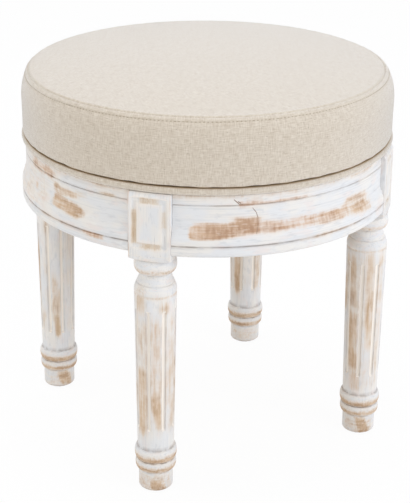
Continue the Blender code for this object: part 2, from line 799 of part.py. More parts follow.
def band_outline():
    """The side band, from just below the seam, over the shoulder and down to its turned-in edge."""
    start = shoulder_angle()
    centre_z = SEAM_Z - SHOULDER_DROP * math.cos(math.radians(start))
    centre = (SEAT_RADIUS - SHOULDER_WIDTH, centre_z)
    after_seam = start + math.degrees(SEAM_REACH / SHOULDER_WIDTH)
    shoulder = arc(centre, (SHOULDER_WIDTH, SHOULDER_DROP), 90 - after_seam, 0, 6)
    low = SEAT_RADIUS - BAND_DRAW_IN
    corner = arc((low - BAND_EDGE, SEAT_Z + BAND_EDGE), (BAND_EDGE, BAND_EDGE), 0, -90, 4)
    return [*shoulder, *corner, (low - COVER_TURN_UNDER, SEAT_Z)]


def seam_point():
    return (SEAM_RADIUS, SEAM_Z - SEAM_DIP)


def seat_outline():
    return [*crown_outline(), seam_point(), *band_outline()]


def skin_mesh(name, outline):
    """A layer of cloth: the outline, its offset, and square edges."""
    inner = offset_inward(outline, COVER_THICKNESS)
    on_axis = outline[0][0] == 0.0
    if on_axis:
        inner[0] = (0.0, outline[0][1] - COVER_THICKNESS)
    return smooth(turned(name, [*outline, *inner[::-1]], ROUND_STEPS, closed=not on_axis))


def cover_top_mesh():
    crown = crown_outline()
    dip = seam_point()
    return skin_mesh("seat_cover_top", [*crown, (dip[0] - FIT / 2, dip[1])])


def cover_band_mesh():
    dip = seam_point()
    return skin_mesh("seat_cover_band", [(dip[0] + FIT / 2, dip[1]), *band_outline()])


def seat_core_outline():
    """What the cover goes round: the seat's outline less the cloth and a clearance."""
    core = offset_inward(seat_outline(), COVER_THICKNESS + FIT)
    core[0] = (0.0, seat_outline()[0][1] - COVER_THICKNESS - FIT)
    return core


def foam_mesh():
    low = SEAT_BOARD_TOP_Z + FIT
    core = seat_core_outline()
    side = between_levels(core, core[0][1], low)
    return smooth(turned("seat_foam", [core[0], *side[1:], (0.0, low)], ROUND_STEPS))


def seat_board_mesh():
    """The seat's board: its edge follows the cover, and its underside is recessed for the swivel."""
    side = between_levels(seat_core_outline(), SEAT_BOARD_TOP_Z, SEAT_BOARD_Z)
    outline = [
        (0.0, SEAT_BOARD_TOP_Z),
        *side,
        (RECESS_RADIUS, SEAT_BOARD_Z),
        (RECESS_RADIUS, RECESS_Z),
        (0.0, RECESS_Z),
    ]
    holes = [screw_hole_mesh(*upper_screw_line(index)) for index in range(PLATE_SCREW_COUNT)]
    return combined(
        "seat_board", turned("seat_board_disc", outline, ROUND_STEPS),
        ("DIFFERENCE", joined("seat_board_holes", holes)))


# Assembly

def build_base(base, finishes):
    leg = leg_mesh()
    pad = pad_mesh()
    brace = brace_mesh()
    for place, angle in LEG_ANGLES.items():
        add_part(f"leg_{place}", leg, finishes["painted_wood"], base, angle)
        add_part(f"foot_pad_{place}", pad, finishes["felt"], base, angle)
        add_part(f"corner_block_{place}", brace, finishes["bare_wood"], base, angle)
    rail = rail_mesh()
    for place, angle in RAIL_ANGLES.items():
        add_part(f"apron_rail_{place}", rail, finishes["painted_wood"], base, angle - math.pi / 4)
    add_part("platform_board", platform_board_mesh(), finishes["plywood"], base)
    add_part("platform_linen_wrap", platform_wrap_mesh(), finishes["linen"], base)
    lower_plate = plate_mesh("swivel_lower_plate", LOWER_PLATE_Z, 1)
    add_part("swivel_lower_plate", lower_plate, finishes["zinc"], base)


def build_base_screws(base, finishes):
    sides = {"a": 1, "b": -1}
    rail_screws = {key: screw_mesh("rail_screw", *brace_screw_line(side)) for key, side in sides.items()}
    platform_screw = screw_mesh("platform_screw", *platform_screw_line())
    for place, angle in LEG_ANGLES.items():
        for key, screw in rail_screws.items():
            add_part(f"rail_screw_{place}_{key}", screw, finishes["zinc"], base, angle)
        add_part(f"platform_screw_{place}", platform_screw, finishes["zinc"], base, angle)
    for index in range(PLATE_SCREW_COUNT):
        screw = screw_mesh("lower_plate_screw", *lower_screw_line(index))
        add_part(f"lower_plate_screw_{index + 1}", screw, finishes["zinc"], base)


def build_seat(seat, finishes):
    add_part("seat_cover_top", cover_top_mesh(), finishes["linen"], seat)
    add_part("seat_cover_band", cover_band_mesh(), finishes["linen"], seat)
    add_part("seat_foam", foam_mesh(), finishes["foam"], seat)
    add_part("seat_board", seat_board_mesh(), finishes["plywood"], seat)
    upper_plate = plate_mesh("swivel_upper_plate", UPPER_PLATE_Z, -1)
    add_part("swivel_upper_plate", upper_plate, finishes["zinc"], seat, UPPER_PLATE_TURN)
    for index in range(PLATE_SCREW_COUNT):
        screw = screw_mesh("upper_plate_screw", *upper_screw_line(index))
        add_part(f"upper_plate_screw_{index + 1}", screw, finishes["zinc"], seat)


def make_finishes():
    return {
        "painted_wood": material("painted_wood", (0.76, 0.75, 0.73), 0.55),
        "bare_wood": material("bare_wood", (0.52, 0.36, 0.22), 0.65),
        "plywood": material("plywood", (0.58, 0.43, 0.28), 0.70),
        "linen": material("linen", (0.62, 0.55, 0.46), 0.92),
        "foam": material("foam", (0.80, 0.76, 0.60), 0.95),
        "zinc": material("zinc", (0.58, 0.58, 0.57), 0.38, 1.0),
        "felt": material("felt", (0.20, 0.19, 0.18), 0.97),
    }


clear_scene()
PARTS = new_collection("round_swivel_stool")
CUTTERS = new_collection("cutters")


def main():
    finishes = make_finishes()
    base = add_empty("base", PARTS)
    cage = add_empty("cage_axis", PARTS)
    seat = add_empty("seat_axis", PARTS)
    build_base(base, finishes)
    build_base_screws(base, finishes)
    add_part("swivel_ball_cage", ball_cage_mesh(), finishes["zinc"], cage)
    build_seat(seat, finishes)


main()
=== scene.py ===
"""The looks of a round swivel stool: linen cushion, linen-edged platform, rubbed white legs and apron.

Metres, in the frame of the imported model: +Z up, origin on the floor under the middle of the seat.
"""

import math
from collections import namedtuple

import bmesh
import bpy
import numpy as np
from mathutils import Matrix, Vector
from mathutils.bvhtree import BVHTree


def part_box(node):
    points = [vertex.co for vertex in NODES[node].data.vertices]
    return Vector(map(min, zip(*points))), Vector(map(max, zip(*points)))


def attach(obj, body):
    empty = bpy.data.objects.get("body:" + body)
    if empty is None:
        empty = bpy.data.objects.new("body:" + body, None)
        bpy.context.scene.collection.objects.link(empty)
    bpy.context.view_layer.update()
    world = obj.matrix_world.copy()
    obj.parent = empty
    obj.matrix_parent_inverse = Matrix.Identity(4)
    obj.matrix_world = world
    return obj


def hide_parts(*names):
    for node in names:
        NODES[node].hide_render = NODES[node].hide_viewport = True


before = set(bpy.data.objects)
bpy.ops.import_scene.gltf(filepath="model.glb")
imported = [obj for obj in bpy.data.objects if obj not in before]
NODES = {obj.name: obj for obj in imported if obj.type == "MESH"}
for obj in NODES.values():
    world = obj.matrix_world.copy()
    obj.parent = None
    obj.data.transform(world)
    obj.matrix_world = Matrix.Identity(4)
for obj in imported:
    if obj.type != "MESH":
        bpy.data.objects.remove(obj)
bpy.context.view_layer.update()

# Camera that took the photograph
IMAGE_HEIGHT = 503
SENSOR = 36.0
FOCAL_PIXELS = 1456.6
OPTICAL_ROW = 160.0
CAMERA_DISTANCE = 1.7171
CAMERA_RISE = math.radians(21.660)
CAMERA_TURN = math.radians(-28.861)
CAMERA_PITCH = math.radians(19.515)
CAMERA_YAW = math.radians(-0.0845)
CAMERA_ROLL = math.radians(0.570)
AIM_HEIGHT = 0.25

# Sizes read from the frame
FOOT_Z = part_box("leg_front_left")[0].z
BASE_TOP_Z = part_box("leg_front_left")[1].z
APRON_LOW_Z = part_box("apron_rail_front")[0].z
APRON_RADIUS = -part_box("apron_rail_front")[0].y
PLATFORM_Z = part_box("platform_board")[0].z
PLATFORM_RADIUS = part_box("platform_board")[1].x
WRAP_TOP_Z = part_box("platform_linen_wrap")[1].z
WRAP_LIP_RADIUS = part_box("platform_linen_wrap")[1].x
SEAT_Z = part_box("seat_cover_band")[0].z
SEAT_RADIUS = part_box("seat_cover_band")[1].x
CROWN_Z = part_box("seat_cover_top")[1].z

# Legs: a square block above a turned and fluted shaft
BLOCK_HALF = 0.02325
BLOCK_HEIGHT = 0.0687
BLOCK_PROUD = 0.0017
BLOCK_EDGE = 0.0012
BLOCK_SET_BACK = 0.0020
BLOCK_LEAN = 0.0022
BLOCK_LEAN_HEIGHT = 0.0045
BLOCK_LOW_ROWS = (0.001, 0.004)
BLOCK_TOP_ROWS = (0.0046, 0.0036, 0.0027, 0.0019)
POMMEL_ROWS = 7
POMMEL_HEIGHT = 0.0067
POMMEL_OVERRUN = 0.004
POMMEL_START = math.radians(-85)
COLLAR_HEIGHT = 0.0173
COLLAR_INSET = 0.0002
COLLAR_UNDERCUT = 0.0045
NECK_HEIGHT = 0.0030
NECK_INSET = 0.0061
FLARE_HEIGHT = 0.0170
FLARE_EASE = 0.7
SHAFT_TOP_INSET = 0.0003
SHAFT_BOTTOM_INSET = 0.0032
LOW_RING_HEIGHT = 0.0122
LOW_RING_INSET = 0.0008
HIGH_RING_HEIGHT = 0.0148
HIGH_RING_INSET = 0.0000
FOOT_HEIGHT = 0.0237
FOOT_INSET = 0.0045
FOOT_EDGE = 0.0025
LINE_DROP = 0.0043
LINE_WIDTH = 0.0034
LINE_DEPTH = 0.0007
CREASE_RISE = 0.0075
CREASE_WIDTH = 0.0012
CREASE_DEPTH = 0.0004
TURNED_STRETCH = 8.0
FLUTE_COUNT = 8
FLUTE_RADIUS = 0.0027
FLUTE_DEPTH = 0.0020
FLUTE_TOP_MARGIN = 0.0205
FLUTE_BOTTOM_MARGIN = 0.0250
FLUTE_END_ROWS = 0.006
ROW_GAP = 0.001
PANEL_SIDE_MARGIN = 0.0067
PANEL_TOP_MARGIN = 0.0082
PANEL_BOTTOM_MARGIN = 0.0104
PANEL_GROOVE_RADIUS = 0.0035
PANEL_GROOVE_DEPTH = 0.0016
PANEL_GROOVE_ROWS = np.array([-1, -0.7, -0.36, 0, 0.36, 0.7, 1])
PANEL_CLEAR = 0.004

LEG_RADIUS = APRON_RADIUS + BLOCK_PROUD - BLOCK_HALF
SHAFT_TOP_RADIUS = BLOCK_HALF - SHAFT_TOP_INSET
SHAFT_BOTTOM_RADIUS = BLOCK_HALF - SHAFT_BOTTOM_INSET
NECK_RADIUS = BLOCK_HALF - NECK_INSET
FOOT_RADIUS = BLOCK_HALF - FOOT_INSET
RING_LOW_Z = FOOT_Z + FOOT_HEIGHT
RING_HIGH_Z = RING_LOW_Z + LOW_RING_HEIGHT
SHAFT_LOW_Z = RING_HIGH_Z + HIGH_RING_HEIGHT
BLOCK_Z = BASE_TOP_Z - BLOCK_HEIGHT
COLLAR_TOP_Z = BLOCK_Z - POMMEL_HEIGHT
COLLAR_LOW_Z = COLLAR_TOP_Z - COLLAR_HEIGHT
NECK_LOW_Z = COLLAR_LOW_Z - NECK_HEIGHT
SHAFT_TOP_Z = NECK_LOW_Z - FLARE_HEIGHT
FLUTE_LOW_Z = SHAFT_LOW_Z + FLUTE_BOTTOM_MARGIN
FLUTE_TOP_Z = SHAFT_TOP_Z - FLUTE_TOP_MARGIN
PANEL_HALF = BLOCK_HALF - PANEL_SIDE_MARGIN
PANEL_LOW_Z = BLOCK_Z + PANEL_BOTTOM_MARGIN
PANEL_HIGH_Z = BASE_TOP_Z - PANEL_TOP_MARGIN
PANEL_GROOVE_HALF = math.sqrt(
    PANEL_GROOVE_RADIUS ** 2 - (PANEL_GROOVE_RADIUS - PANEL_GROOVE_DEPTH) ** 2)
FLUTE_HALF = math.sqrt(FLUTE_RADIUS ** 2 - (FLUTE_RADIUS - FLUTE_DEPTH) ** 2)

# Apron rails
APRON_THICKNESS = 0.0245
APRON_SETBACK = 0.0048
APRON_TOP_STRIP = 0.0113
APRON_BEAD_HEIGHT = 0.0125
APRON_SWELL_HEIGHT = 0.0180
APRON_SWELL_RISE = 0.0040
APRON_EDGE = 0.0008
BEAD_ROUND = 0.0045
GROOVE_WIDTH = 0.0020
GROOVE_DEPTH = 0.0013
RAIL_FIT = 0.0003
RAIL_COLUMNS = 129
RAIL_SHOULDER = BLOCK_HALF + RAIL_FIT
APRON_TOP_RADIUS = APRON_RADIUS - APRON_SETBACK
STRIP_LOW_Z = BASE_TOP_Z - APRON_TOP_STRIP
BEAD_TOP_Z = APRON_LOW_Z + APRON_BEAD_HEIGHT
APRON_INNER_RADIUS = APRON_RADIUS - APRON_THICKNESS

# Linen round the platform's edge
WRAP_CLEARANCE = 0.0003
WRAP_THICKNESS = 0.0008
WRAP_TURN_IN = 0.0250
WRAP_LIP_ROUND = 0.0030
WRAP_FULLNESS = 0.0008
WRAP_COLUMNS = 320
WRAP_PUCKER = 0.00025
WRAP_PUCKER_COUNTS = (23, 41, 67, 88)
WRAP_PUCKER_START = WRAP_TURN_IN * 0.8
WRAP_PUCKER_FULL = WRAP_TURN_IN * 1.15
# Where the painted shadow on the linen ring's lip starts and is full
WRAP_SHADOW_START = WRAP_LIP_RADIUS + WRAP_FULLNESS - WRAP_LIP_ROUND * 0.45
WRAP_SHADOW_FULL = WRAP_LIP_RADIUS + WRAP_FULLNESS - WRAP_LIP_ROUND * 1.1

# Cushion
CUSHION_COLUMNS = 400
SECTION_STEPS = 3000
SEAM_INSET = 0.0107
SHOULDER_LEAD = 0.0043
SHOULDER_DROP = 0.0330
BAND_DRAW_IN = 0.0008
BAND_SLACK = 0.0006
COVER_SAG = 0.0008
COVER_WAVE = 0.00045
COVER_WAVE_REACH = 0.014
COVER_WAVE_COUNTS = (9, 17, 29, 43, 61)
# Where the painted shadow on the cushion's lower edge starts and is full, above its lowest point
COVER_SHADOW_START = 0.0013
COVER_SHADOW_FULL = 0.0002
BAND_EDGE = 0.0025
COVER_TURN_UNDER = 0.0250
CROWN_RISE = 0.0155
SEAM_TILT = 0.0032
SEAM_TILT_ANGLE = math.radians(106)
SEAM_DROP = 0.00075
SEAM_BLEND = 0.035
SEAM_FADE = 0.02
SEAM_ROUND = 0.0035
PUCKER_HEIGHT = 0.00009
PUCKER_REACH = 0.010
PUCKER_COUNTS = (61, 97, 143, 171)
FOLD_HEIGHT = 0.0006
FOLD_RISE = (0.0003, 0.0013)
FOLD_FALL = (0.0052, 0.0072)
SLOPE_REACH = 0.0008
STITCH_ROW = 0.0062
STITCH_PITCH = 0.0042
STITCH_LENGTH = 0.0021
STITCH_RADIUS = 0.00038
STITCH_BOW = 0.000352
STITCH_SINK = 0.0001
STITCH_TIP = 0.08
STITCH_SIDES = 6
STITCH_RINGS = 7
SWELL_INSET = 0.002
SWELL_CAP = 0.0010
SWELL_DIP = 0.0002
SWELL_BLUR = 0.010
SWELL_STIFFNESS = 120.0
SWELL_VOXEL = 0.005
SWELL_PRESSURE = 4.0
SWELL_FRAMES = 20
SWELL_QUALITY = 6
SWELL_COLUMNS = 96
SWELL_SKIP = 8
SWELL_WAVES = 12
SWELL_REACH = 0.03
SWELL_FADE = (0.001, -0.025)
SEAM_RADIUS = SEAT_RADIUS - SEAM_INSET
SEAM_Z = CROWN_Z - CROWN_RISE
BAND_RADIUS = SEAT_RADIUS - BAND_SLACK
COVER_LOW_Z = SEAT_Z - COVER_SAG
COVER_EDGE_RADIUS = BAND_RADIUS - BAND_DRAW_IN
COVER_EDGE_Z = COVER_LOW_Z + BAND_EDGE
SHOULDER_WIDTH = SEAM_INSET + SHOULDER_LEAD - (SEAT_RADIUS - BAND_RADIUS)
# Ridges and furrows along the seam: height, distance below the seam and width
SEAM_RELIEF = (
    (-0.0008, 0.0, 0.0008),
    (-0.0005, STITCH_ROW, 0.0009),
    (0.0004, -0.0026, 0.0018),
)
# Rows of the cushion's mesh beside the seam, in millimetres below it, and the clear spans next to them
SEAM_ROWS = (
    -9, -6.5, -4.5, -3, -2, -1.3, -0.7, -0.3, 0, 0.3, 0.7, 1.3, 2, 3, 4, 4.9, 5.6,
    1000 * STITCH_ROW, 6.8, 7.6, 9)
CROWN_START = 0.0015
CROWN_CLEAR = 0.013
BAND_CLEAR = 0.012
EDGE_CLEAR = 0.002
UNDER_CLEAR = 0.003

LEG_ANGLES = {
    "front_left": math.radians(-135),
    "front_right": math.radians(-45),
    "back_right": math.radians(45),
    "back_left": math.radians(135),
}
RAIL_ANGLES = {
    "front": math.radians(-90),
    "right": math.radians(0),
    "back": math.radians(90),
    "left": math.radians(180),
}


# Basic shapes and meshes

def arc(centre, radii, start, stop, count):
    """Points on an ellipse about centre, from start to stop degrees."""
    angles = np.radians(np.linspace(start, stop, count))
    return [(centre[0] + radii[0] * math.cos(a), centre[1] + radii[1] * math.sin(a)) for a in angles]


def smoothstep(low, high, value):
    share = np.clip((value - low) / (high - low), 0.0, 1.0)
    return share * share * (3.0 - 2.0 * share)


def bell(distance, width):
    return np.exp(-(distance / width) ** 2)


def ripples(angles, counts, generator):
    """Sum of even waves round a circle, each from a random start."""
    return sum(np.cos(angles * count + generator.uniform(0, math.tau)) for count in counts)


def even_angles(count):
    return np.linspace(0, math.tau, count, endpoint=False)


def arc_lengths(points):
    """How far along a line each of its points lies."""
    return np.concatenate([[0.0], np.cumsum(np.linalg.norm(np.diff(points, axis=0), axis=1))])


def stacked(x, y, z):
    return np.stack(np.broadcast_arrays(x, y, z), axis=-1)


def round_points(radius, angles, height):
    """Points given by their distance from the upright axis, their angle round it and their height."""
    return stacked(radius * np.cos(angles), radius * np.sin(angles), height)


def grid_mesh(name, points, caps=True):
    """Quads over rows of points that run counter-clockwise, each row closed, from the lowest row up."""
    rows, columns = points.shape[:2]
    index = np.arange(rows * columns).reshape(rows, columns)
    index = np.concatenate([index, index[:, :1]], axis=1)
    quads = np.stack([index[:-1, :-1], index[:-1, 1:], index[1:, 1:], index[1:, :-1]], axis=-1)
    faces = quads.reshape(-1, 4).tolist()
    if caps:
        faces.append(index[0, -2::-1].tolist())
        faces.append(index[-1, :-1].tolist())
    mesh = bpy.data.meshes.new(name)
    mesh.from_pydata(points.reshape(-1, 3).tolist(), [], faces)
    mesh.shade_smooth()
    return mesh


LAYER_FIELDS = {"FLOAT": "value", "FLOAT_VECTOR": "vector", "FLOAT_COLOR": "color"}


def set_layer(mesh, name, kind, values, domain="POINT"):
    """Numbers that a material reads at each point or corner of a mesh."""
    layer = mesh.attributes.new(name, kind, domain)
    layer.data.foreach_set(LAYER_FIELDS[kind], np.asarray(values, np.float32).ravel())


def mesh_points(mesh):
    values = np.zeros(len(mesh.vertices) * 3, np.float32)
    mesh.vertices.foreach_get("co", values)
    return values.reshape(-1, 3)


def whole_numbers(collection, field):
    values = np.zeros(len(collection), np.int64)
    collection.foreach_get(field, values)
    return values


def mend_faces(mesh, weld=None):
    """Weld points that fall together, and turn all faces outwards."""
    shape = bmesh.new()
    shape.from_mesh(mesh)
    if weld:
        bmesh.ops.remove_doubles(shape, verts=shape.verts, dist=weld)
    bmesh.ops.recalc_face_normals(shape, faces=shape.faces)
    shape.to_mesh(mesh)
    shape.free()


def add_piece(name, mesh, material, body, slot, *replaced):
    """One visible piece: it rides on a body and stands for CAD nodes. Its slot argument is not used."""
    piece = bpy.data.objects.new(name, mesh)
    bpy.context.scene.collection.objects.link(piece)
    mesh.materials.clear()
    mesh.materials.append(material)
    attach(piece, body)
    if replaced:
        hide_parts(*replaced)
    return piece


SHARP_ANGLE = math.radians(50)


def add_painted(name, mesh, material, grain, finish, replaced):
    """A painted piece. Its finish says how far each point is rubbed, how much glaze and painted shade it has,
    how creamy and how reddish it is.
    """
    set_layer(mesh, "grain", "FLOAT_VECTOR", grain)
    set_layer(mesh, "finish", "FLOAT_COLOR", finish)
    mesh.set_sharp_from_angle(angle=SHARP_ANGLE)
    add_piece(name, mesh, material, "base", "painted_wood", replaced)


def turned_about(points, angle):
    """Points turned about the stool's axis."""
    cosine, sine = math.cos(angle), math.sin(angle)
    x, y, z = np.moveaxis(points, -1, 0)
    return stacked(x * cosine - y * sine, x * sine + y * cosine, z)


# Materials

def color(red, green, blue):
    """A linear colour from 0 to 255 display values."""
    values = []
    for part in (red, green, blue):
        share = part / 255.0
        values.append(share / 12.92 if share <= 0.04045 else ((share + 0.055) / 1.055) ** 2.4)
    return (*values, 1.0)


WHITE = (1.0, 1.0, 1.0, 1.0)
NO_OFFSET = (0.0, 0.0, 0.0)
MARK_CORE = 0.35


class Nodes:
    """Short calls for adding nodes to a tree."""

    def __init__(self, tree):
        self.tree = tree

    def put(self, socket, value):
        if isinstance(value, bpy.types.NodeSocket):
            self.tree.links.new(value, socket)
        else:
            socket.default_value = value

    def node(self, kind, sockets=(), **settings):
        """A node with some settings, and values or links at some of its sockets."""
        made = self.tree.nodes.new(kind)
        for key, value in settings.items():
            setattr(made, key, value)
        for socket, value in dict(sockets).items():
            self.put(made.inputs[socket], value)
        return made

    def math(self, operation, first, second=0.0, clamp=False):
        sockets = {0: first, 1: second}
        return self.node("ShaderNodeMath", sockets, operation=operation, use_clamp=clamp).outputs[0]


class Finish(Nodes):
    """Short calls for building one material."""

    def __init__(self, name):
        self.material = bpy.data.materials.new(name)
        self.material.use_nodes = True
        super().__init__(self.material.node_tree)

    def surface(self, sockets):
        """The finished material, with values or links at its shader's sockets."""
        shader = self.tree.nodes["Principled BSDF"]
        for name, value in sockets.items():
            self.put(shader.inputs[name], value)
        return self.material

    def attribute(self, name, output="Vector"):
        return self.node("ShaderNodeAttribute", attribute_name=name).outputs[output]

    def place(self):
        return self.node("ShaderNodeTexCoord").outputs["Object"]

    def parts(self, vector):
        return self.node("ShaderNodeSeparateXYZ", {0: vector}).outputs

    def plus(self, first, second, clamp=False):
        return self.math("ADD", first, second, clamp)

    def times(self, first, second, clamp=False):
        return self.math("MULTIPLY", first, second, clamp)

    def rising(self, value, gain, start):
        """A value times its gain, on top of a start."""
        return self.plus(self.times(value, gain), start)

    def centred(self, value, gain):
        """A noise that swings about zero instead of a half."""
        return self.times(self.math("SUBTRACT", value, 0.5), gain)

    def weighed(self, *terms):
        """Sum of values, each times its weight."""
        total = 0.0
        for value, weight in terms:
            total = self.plus(self.times(value, weight), total)
        return total

    def step(self, value, low, high):
        sockets = {"Value": value, "From Min": low, "From Max": high}
        return self.node("ShaderNodeMapRange", sockets, interpolation_type="SMOOTHSTEP").outputs["Result"]

    def scaled(self, vector, sizes, offset=NO_OFFSET, turn=0.0):
        """Coordinates in which one unit is the given size along each axis."""
        scale = tuple(1.0 / size for size in sizes)
        sockets = {"Vector": vector, "Location": offset, "Rotation": (0.0, 0.0, turn), "Scale": scale}
        return self.node("ShaderNodeMapping", sockets, vector_type="POINT").outputs[0]

    def noise(self, vector, sizes, offset=NO_OFFSET, detail=2.0, roughness=0.5):
        """Noise whose marks have the given size along each axis."""
        place = self.scaled(vector, sizes, offset)
        sockets = {"Vector": place, "Scale": 1.0, "Detail": detail, "Roughness": roughness}
        return self.node("ShaderNodeTexNoise", sockets).outputs["Fac"]

    def mixed(self, factor, first, second):
        """One colour, and another where the factor is 1."""
        return self.node("ShaderNodeMix", {0: factor, 6: first, 7: second}, data_type="RGBA").outputs[2]

    def tinted(self, base, mask, strength, shade):
        """A colour with a shade laid over it where the mask lies."""
        return self.mixed(self.times(mask, strength, clamp=True), base, shade)

    def blend(self, factor, first, second):
        """One number, and another where the factor is 1."""
        return self.node("ShaderNodeMix", {0: factor, 2: first, 3: second}, data_type="FLOAT").outputs[0]

    def ramp(self, value, stops):
        made = self.node("ShaderNodeValToRGB", {0: value})
        elements = made.color_ramp.elements
        while len(elements) < len(stops):
            elements.new(1.0)
        for element, (place, shade) in zip(elements, stops):
            element.position = place
            element.color = shade
        return made.outputs[0]

    def vector(self, operation, first, second, output="Vector"):
        return self.node("ShaderNodeVectorMath", {0: first, 1: second}, operation=operation).outputs[output]

    def mark(self, vector, start, stop, half_width):
        """1 on the line between two places, and 0 past its half width."""
        axis = Vector(stop) - Vector(start)
        away = self.vector("SUBTRACT", vector, start)
        share = self.vector("DOT_PRODUCT", away, tuple(axis / axis.length_squared), "Value")
        sockets = {0: axis, "Scale": self.plus(share, 0.0, clamp=True)}
        nearest = self.node("ShaderNodeVectorMath", sockets, operation="SCALE").outputs[0]
        distance = self.vector("DISTANCE", away, nearest, "Value")
        return self.step(distance, half_width, half_width * MARK_CORE)

    def bump(self, height, distance, strength, normal=None):
        sockets = {"Height": height, "Distance": distance, "Strength": strength}
        if normal is not None:
            sockets["Normal"] = normal
        return self.node("ShaderNodeBump", sockets).outputs[0]


YARN = 0.0011
SLUB_LENGTH = 0.0080
WAVER = 0.006
CLOUD = 0.018
FLECK_LENGTH = 0.0030
FLECK_WIDTH = 0.0012
LINEN_PALE = color(226, 216, 201)
LINEN_MID = color(213, 201, 184)
LINEN_DARK = color(197, 182, 162)
LINEN_FLECK = color(150, 132, 110)
# Painted shadow: the linen's colour in the narrow gap between the cushion and the linen ring
GAP_PAINTED_SHADOW = color(188, 164, 132)
THREAD = color(192, 177, 155)
THREAD_DARK = color(164, 147, 124)


def linen_finish(name):
    """Plain-woven linen: over-and-under yarns, uneven thickness, slubs, small dark flecks, painted shade
    between the yarns and a painted shadow in the gap under the cushion.
    """
    finish = Finish(name)
    weave = finish.attribute("weave")
    shift = finish.times(finish.noise(weave, (WAVER, WAVER, WAVER), detail=1.0), 0.8)
    counts = finish.parts(finish.scaled(weave, (YARN, YARN, YARN)))[:2]
    yarns = [finish.plus(count, shift) for count in counts]
    warp, weft = [finish.math("ABSOLUTE", finish.math("SINE", finish.times(yarn, math.pi))) for yarn in yarns]
    cell = finish.plus(*[finish.math("FLOOR", yarn) for yarn in yarns])
    raised_warp = finish.times(warp, finish.rising(weft, 0.5, 0.5))
    raised_weft = finish.times(weft, finish.rising(warp, 0.5, 0.5))
    height = finish.blend(finish.math("PINGPONG", cell, 1.0), raised_warp, raised_weft)
    warp_tone = finish.noise(weave, (YARN, SLUB_LENGTH, 1.0), detail=1.0)
    weft_tone = finish.noise(weave, (SLUB_LENGTH, YARN, 1.0), (7.3, 2.1, 0.0), detail=1.0)
    tone = finish.weighed((warp_tone, 0.5), (weft_tone, 0.5))
    cloud = finish.noise(weave, (CLOUD, CLOUD, CLOUD))
    shade = finish.weighed((tone, 0.94), (cloud, 0.06))
    base = finish.ramp(shade, [(0.33, LINEN_DARK), (0.50, LINEN_MID), (0.67, LINEN_PALE)])
    # Painted shade in the low places between the yarns
    base = finish.tinted(base, finish.step(height, 0.30, 0.0), 0.25, LINEN_DARK)
    fleck_warp = finish.noise(weave, (FLECK_WIDTH, FLECK_LENGTH, 1.0), (3.1, 9.7, 0.0), detail=0.0)
    fleck_weft = finish.noise(weave, (FLECK_LENGTH, FLECK_WIDTH, 1.0), (5.9, 1.3, 0.0), detail=0.0)
    fleck = finish.step(finish.math("MAXIMUM", fleck_warp, fleck_weft), 0.76, 0.84)
    base = finish.tinted(base, fleck, 0.55, LINEN_FLECK)
    # Painted shadow in the gap under the cushion: darker colour, sheen off and less reflection
    gap_shadow = finish.attribute("gap_shadow", "Fac")
    return finish.surface({
        "Base Color": finish.mixed(gap_shadow, base, GAP_PAINTED_SHADOW),
        "Roughness": finish.rising(tone, 0.15, 0.80),
        "Specular IOR Level": finish.rising(gap_shadow, -0.15, 0.15),
        "Sheen Weight": finish.rising(gap_shadow, -1.0, 1.0),
        "Sheen Roughness": 0.45,
        "Sheen Tint": WHITE,
        "Normal": finish.bump(height, 0.00035, 0.6, finish.bump(tone, 0.0004, 0.5)),
    })


def thread_finish(name):
    """Twisted sewing thread, a little darker than the cloth."""
    finish = Finish(name)
    twist = finish.noise(finish.attribute("weave"), (0.0004, 0.0004, 0.0009), detail=1.0)
    return finish.surface({
        "Base Color": finish.ramp(twist, [(0.35, THREAD_DARK), (0.65, THREAD)]),
        "Roughness": 0.85,
        "Specular IOR Level": 0.15,
        "Normal": finish.bump(twist, 0.0001, 0.6),
    })


PAINT_COOL = color(226, 227, 228)
PAINT_WARM = color(233, 230, 225)
PAINT_PINK = color(232, 222, 217)
PAINT_GREY = color(205, 207, 210)
CREAM = color(247, 238, 226)
GLAZE_AND_SHADE = color(120, 98, 82)
SCRATCH = color(176, 174, 174)
CRACK = color(140, 116, 100)
TAN_WOODS = (color(226, 211, 189), color(211, 188, 156), color(186, 157, 123))
ROSE_WOODS = (color(228, 207, 190), color(211, 176, 148), color(172, 130, 100))
WOOD_STOPS = (0.20, 0.60, 1.0)
# Noises in the painted wood: length of their marks along the grain, width across it, offset and detail
WOOD_NOISES = {
    "streak": (0.055, 0.0024, NO_OFFSET, 2.0),
    "blotch": (0.018, 0.0070, (4.0, 1.0, 2.0), 4.0),
    "hair": (0.030, 0.0009, (1.0, 6.0, 3.0), 1.0),
    "saw": (0.0036, 0.013, (2.0, 5.0, 8.0), 2.0),
    "kept": (0.009, 0.0022, (3.0, 1.0, 4.0), 2.0),
    "cloud": (0.040, 0.022, (2.0, 8.0, 5.0), 2.0),
    "veil": (0.026, 0.011, (8.0, 2.0, 3.0), 2.0),
    "brush": (0.070, 0.0017, (5.0, 7.0, 1.0), 2.0),
    "smudge": (0.013, 0.0045, (6.0, 4.0, 9.0), 3.0),
    "scratch": (0.020, 0.0010, (9.0, 3.0, 7.0), 1.0),
}
# Shades over the white paint: the noise that places them, where they start and are full, strength and shade
PAINT_SHADES = [
    ("veil", 0.54, 0.68, 0.60, PAINT_PINK),
    ("brush", 0.54, 0.70, 0.40, PAINT_GREY),
    ("smudge", 0.55, 0.72, 0.55, PAINT_GREY),
    ("scratch", 0.68, 0.80, 0.60, SCRATCH),
]
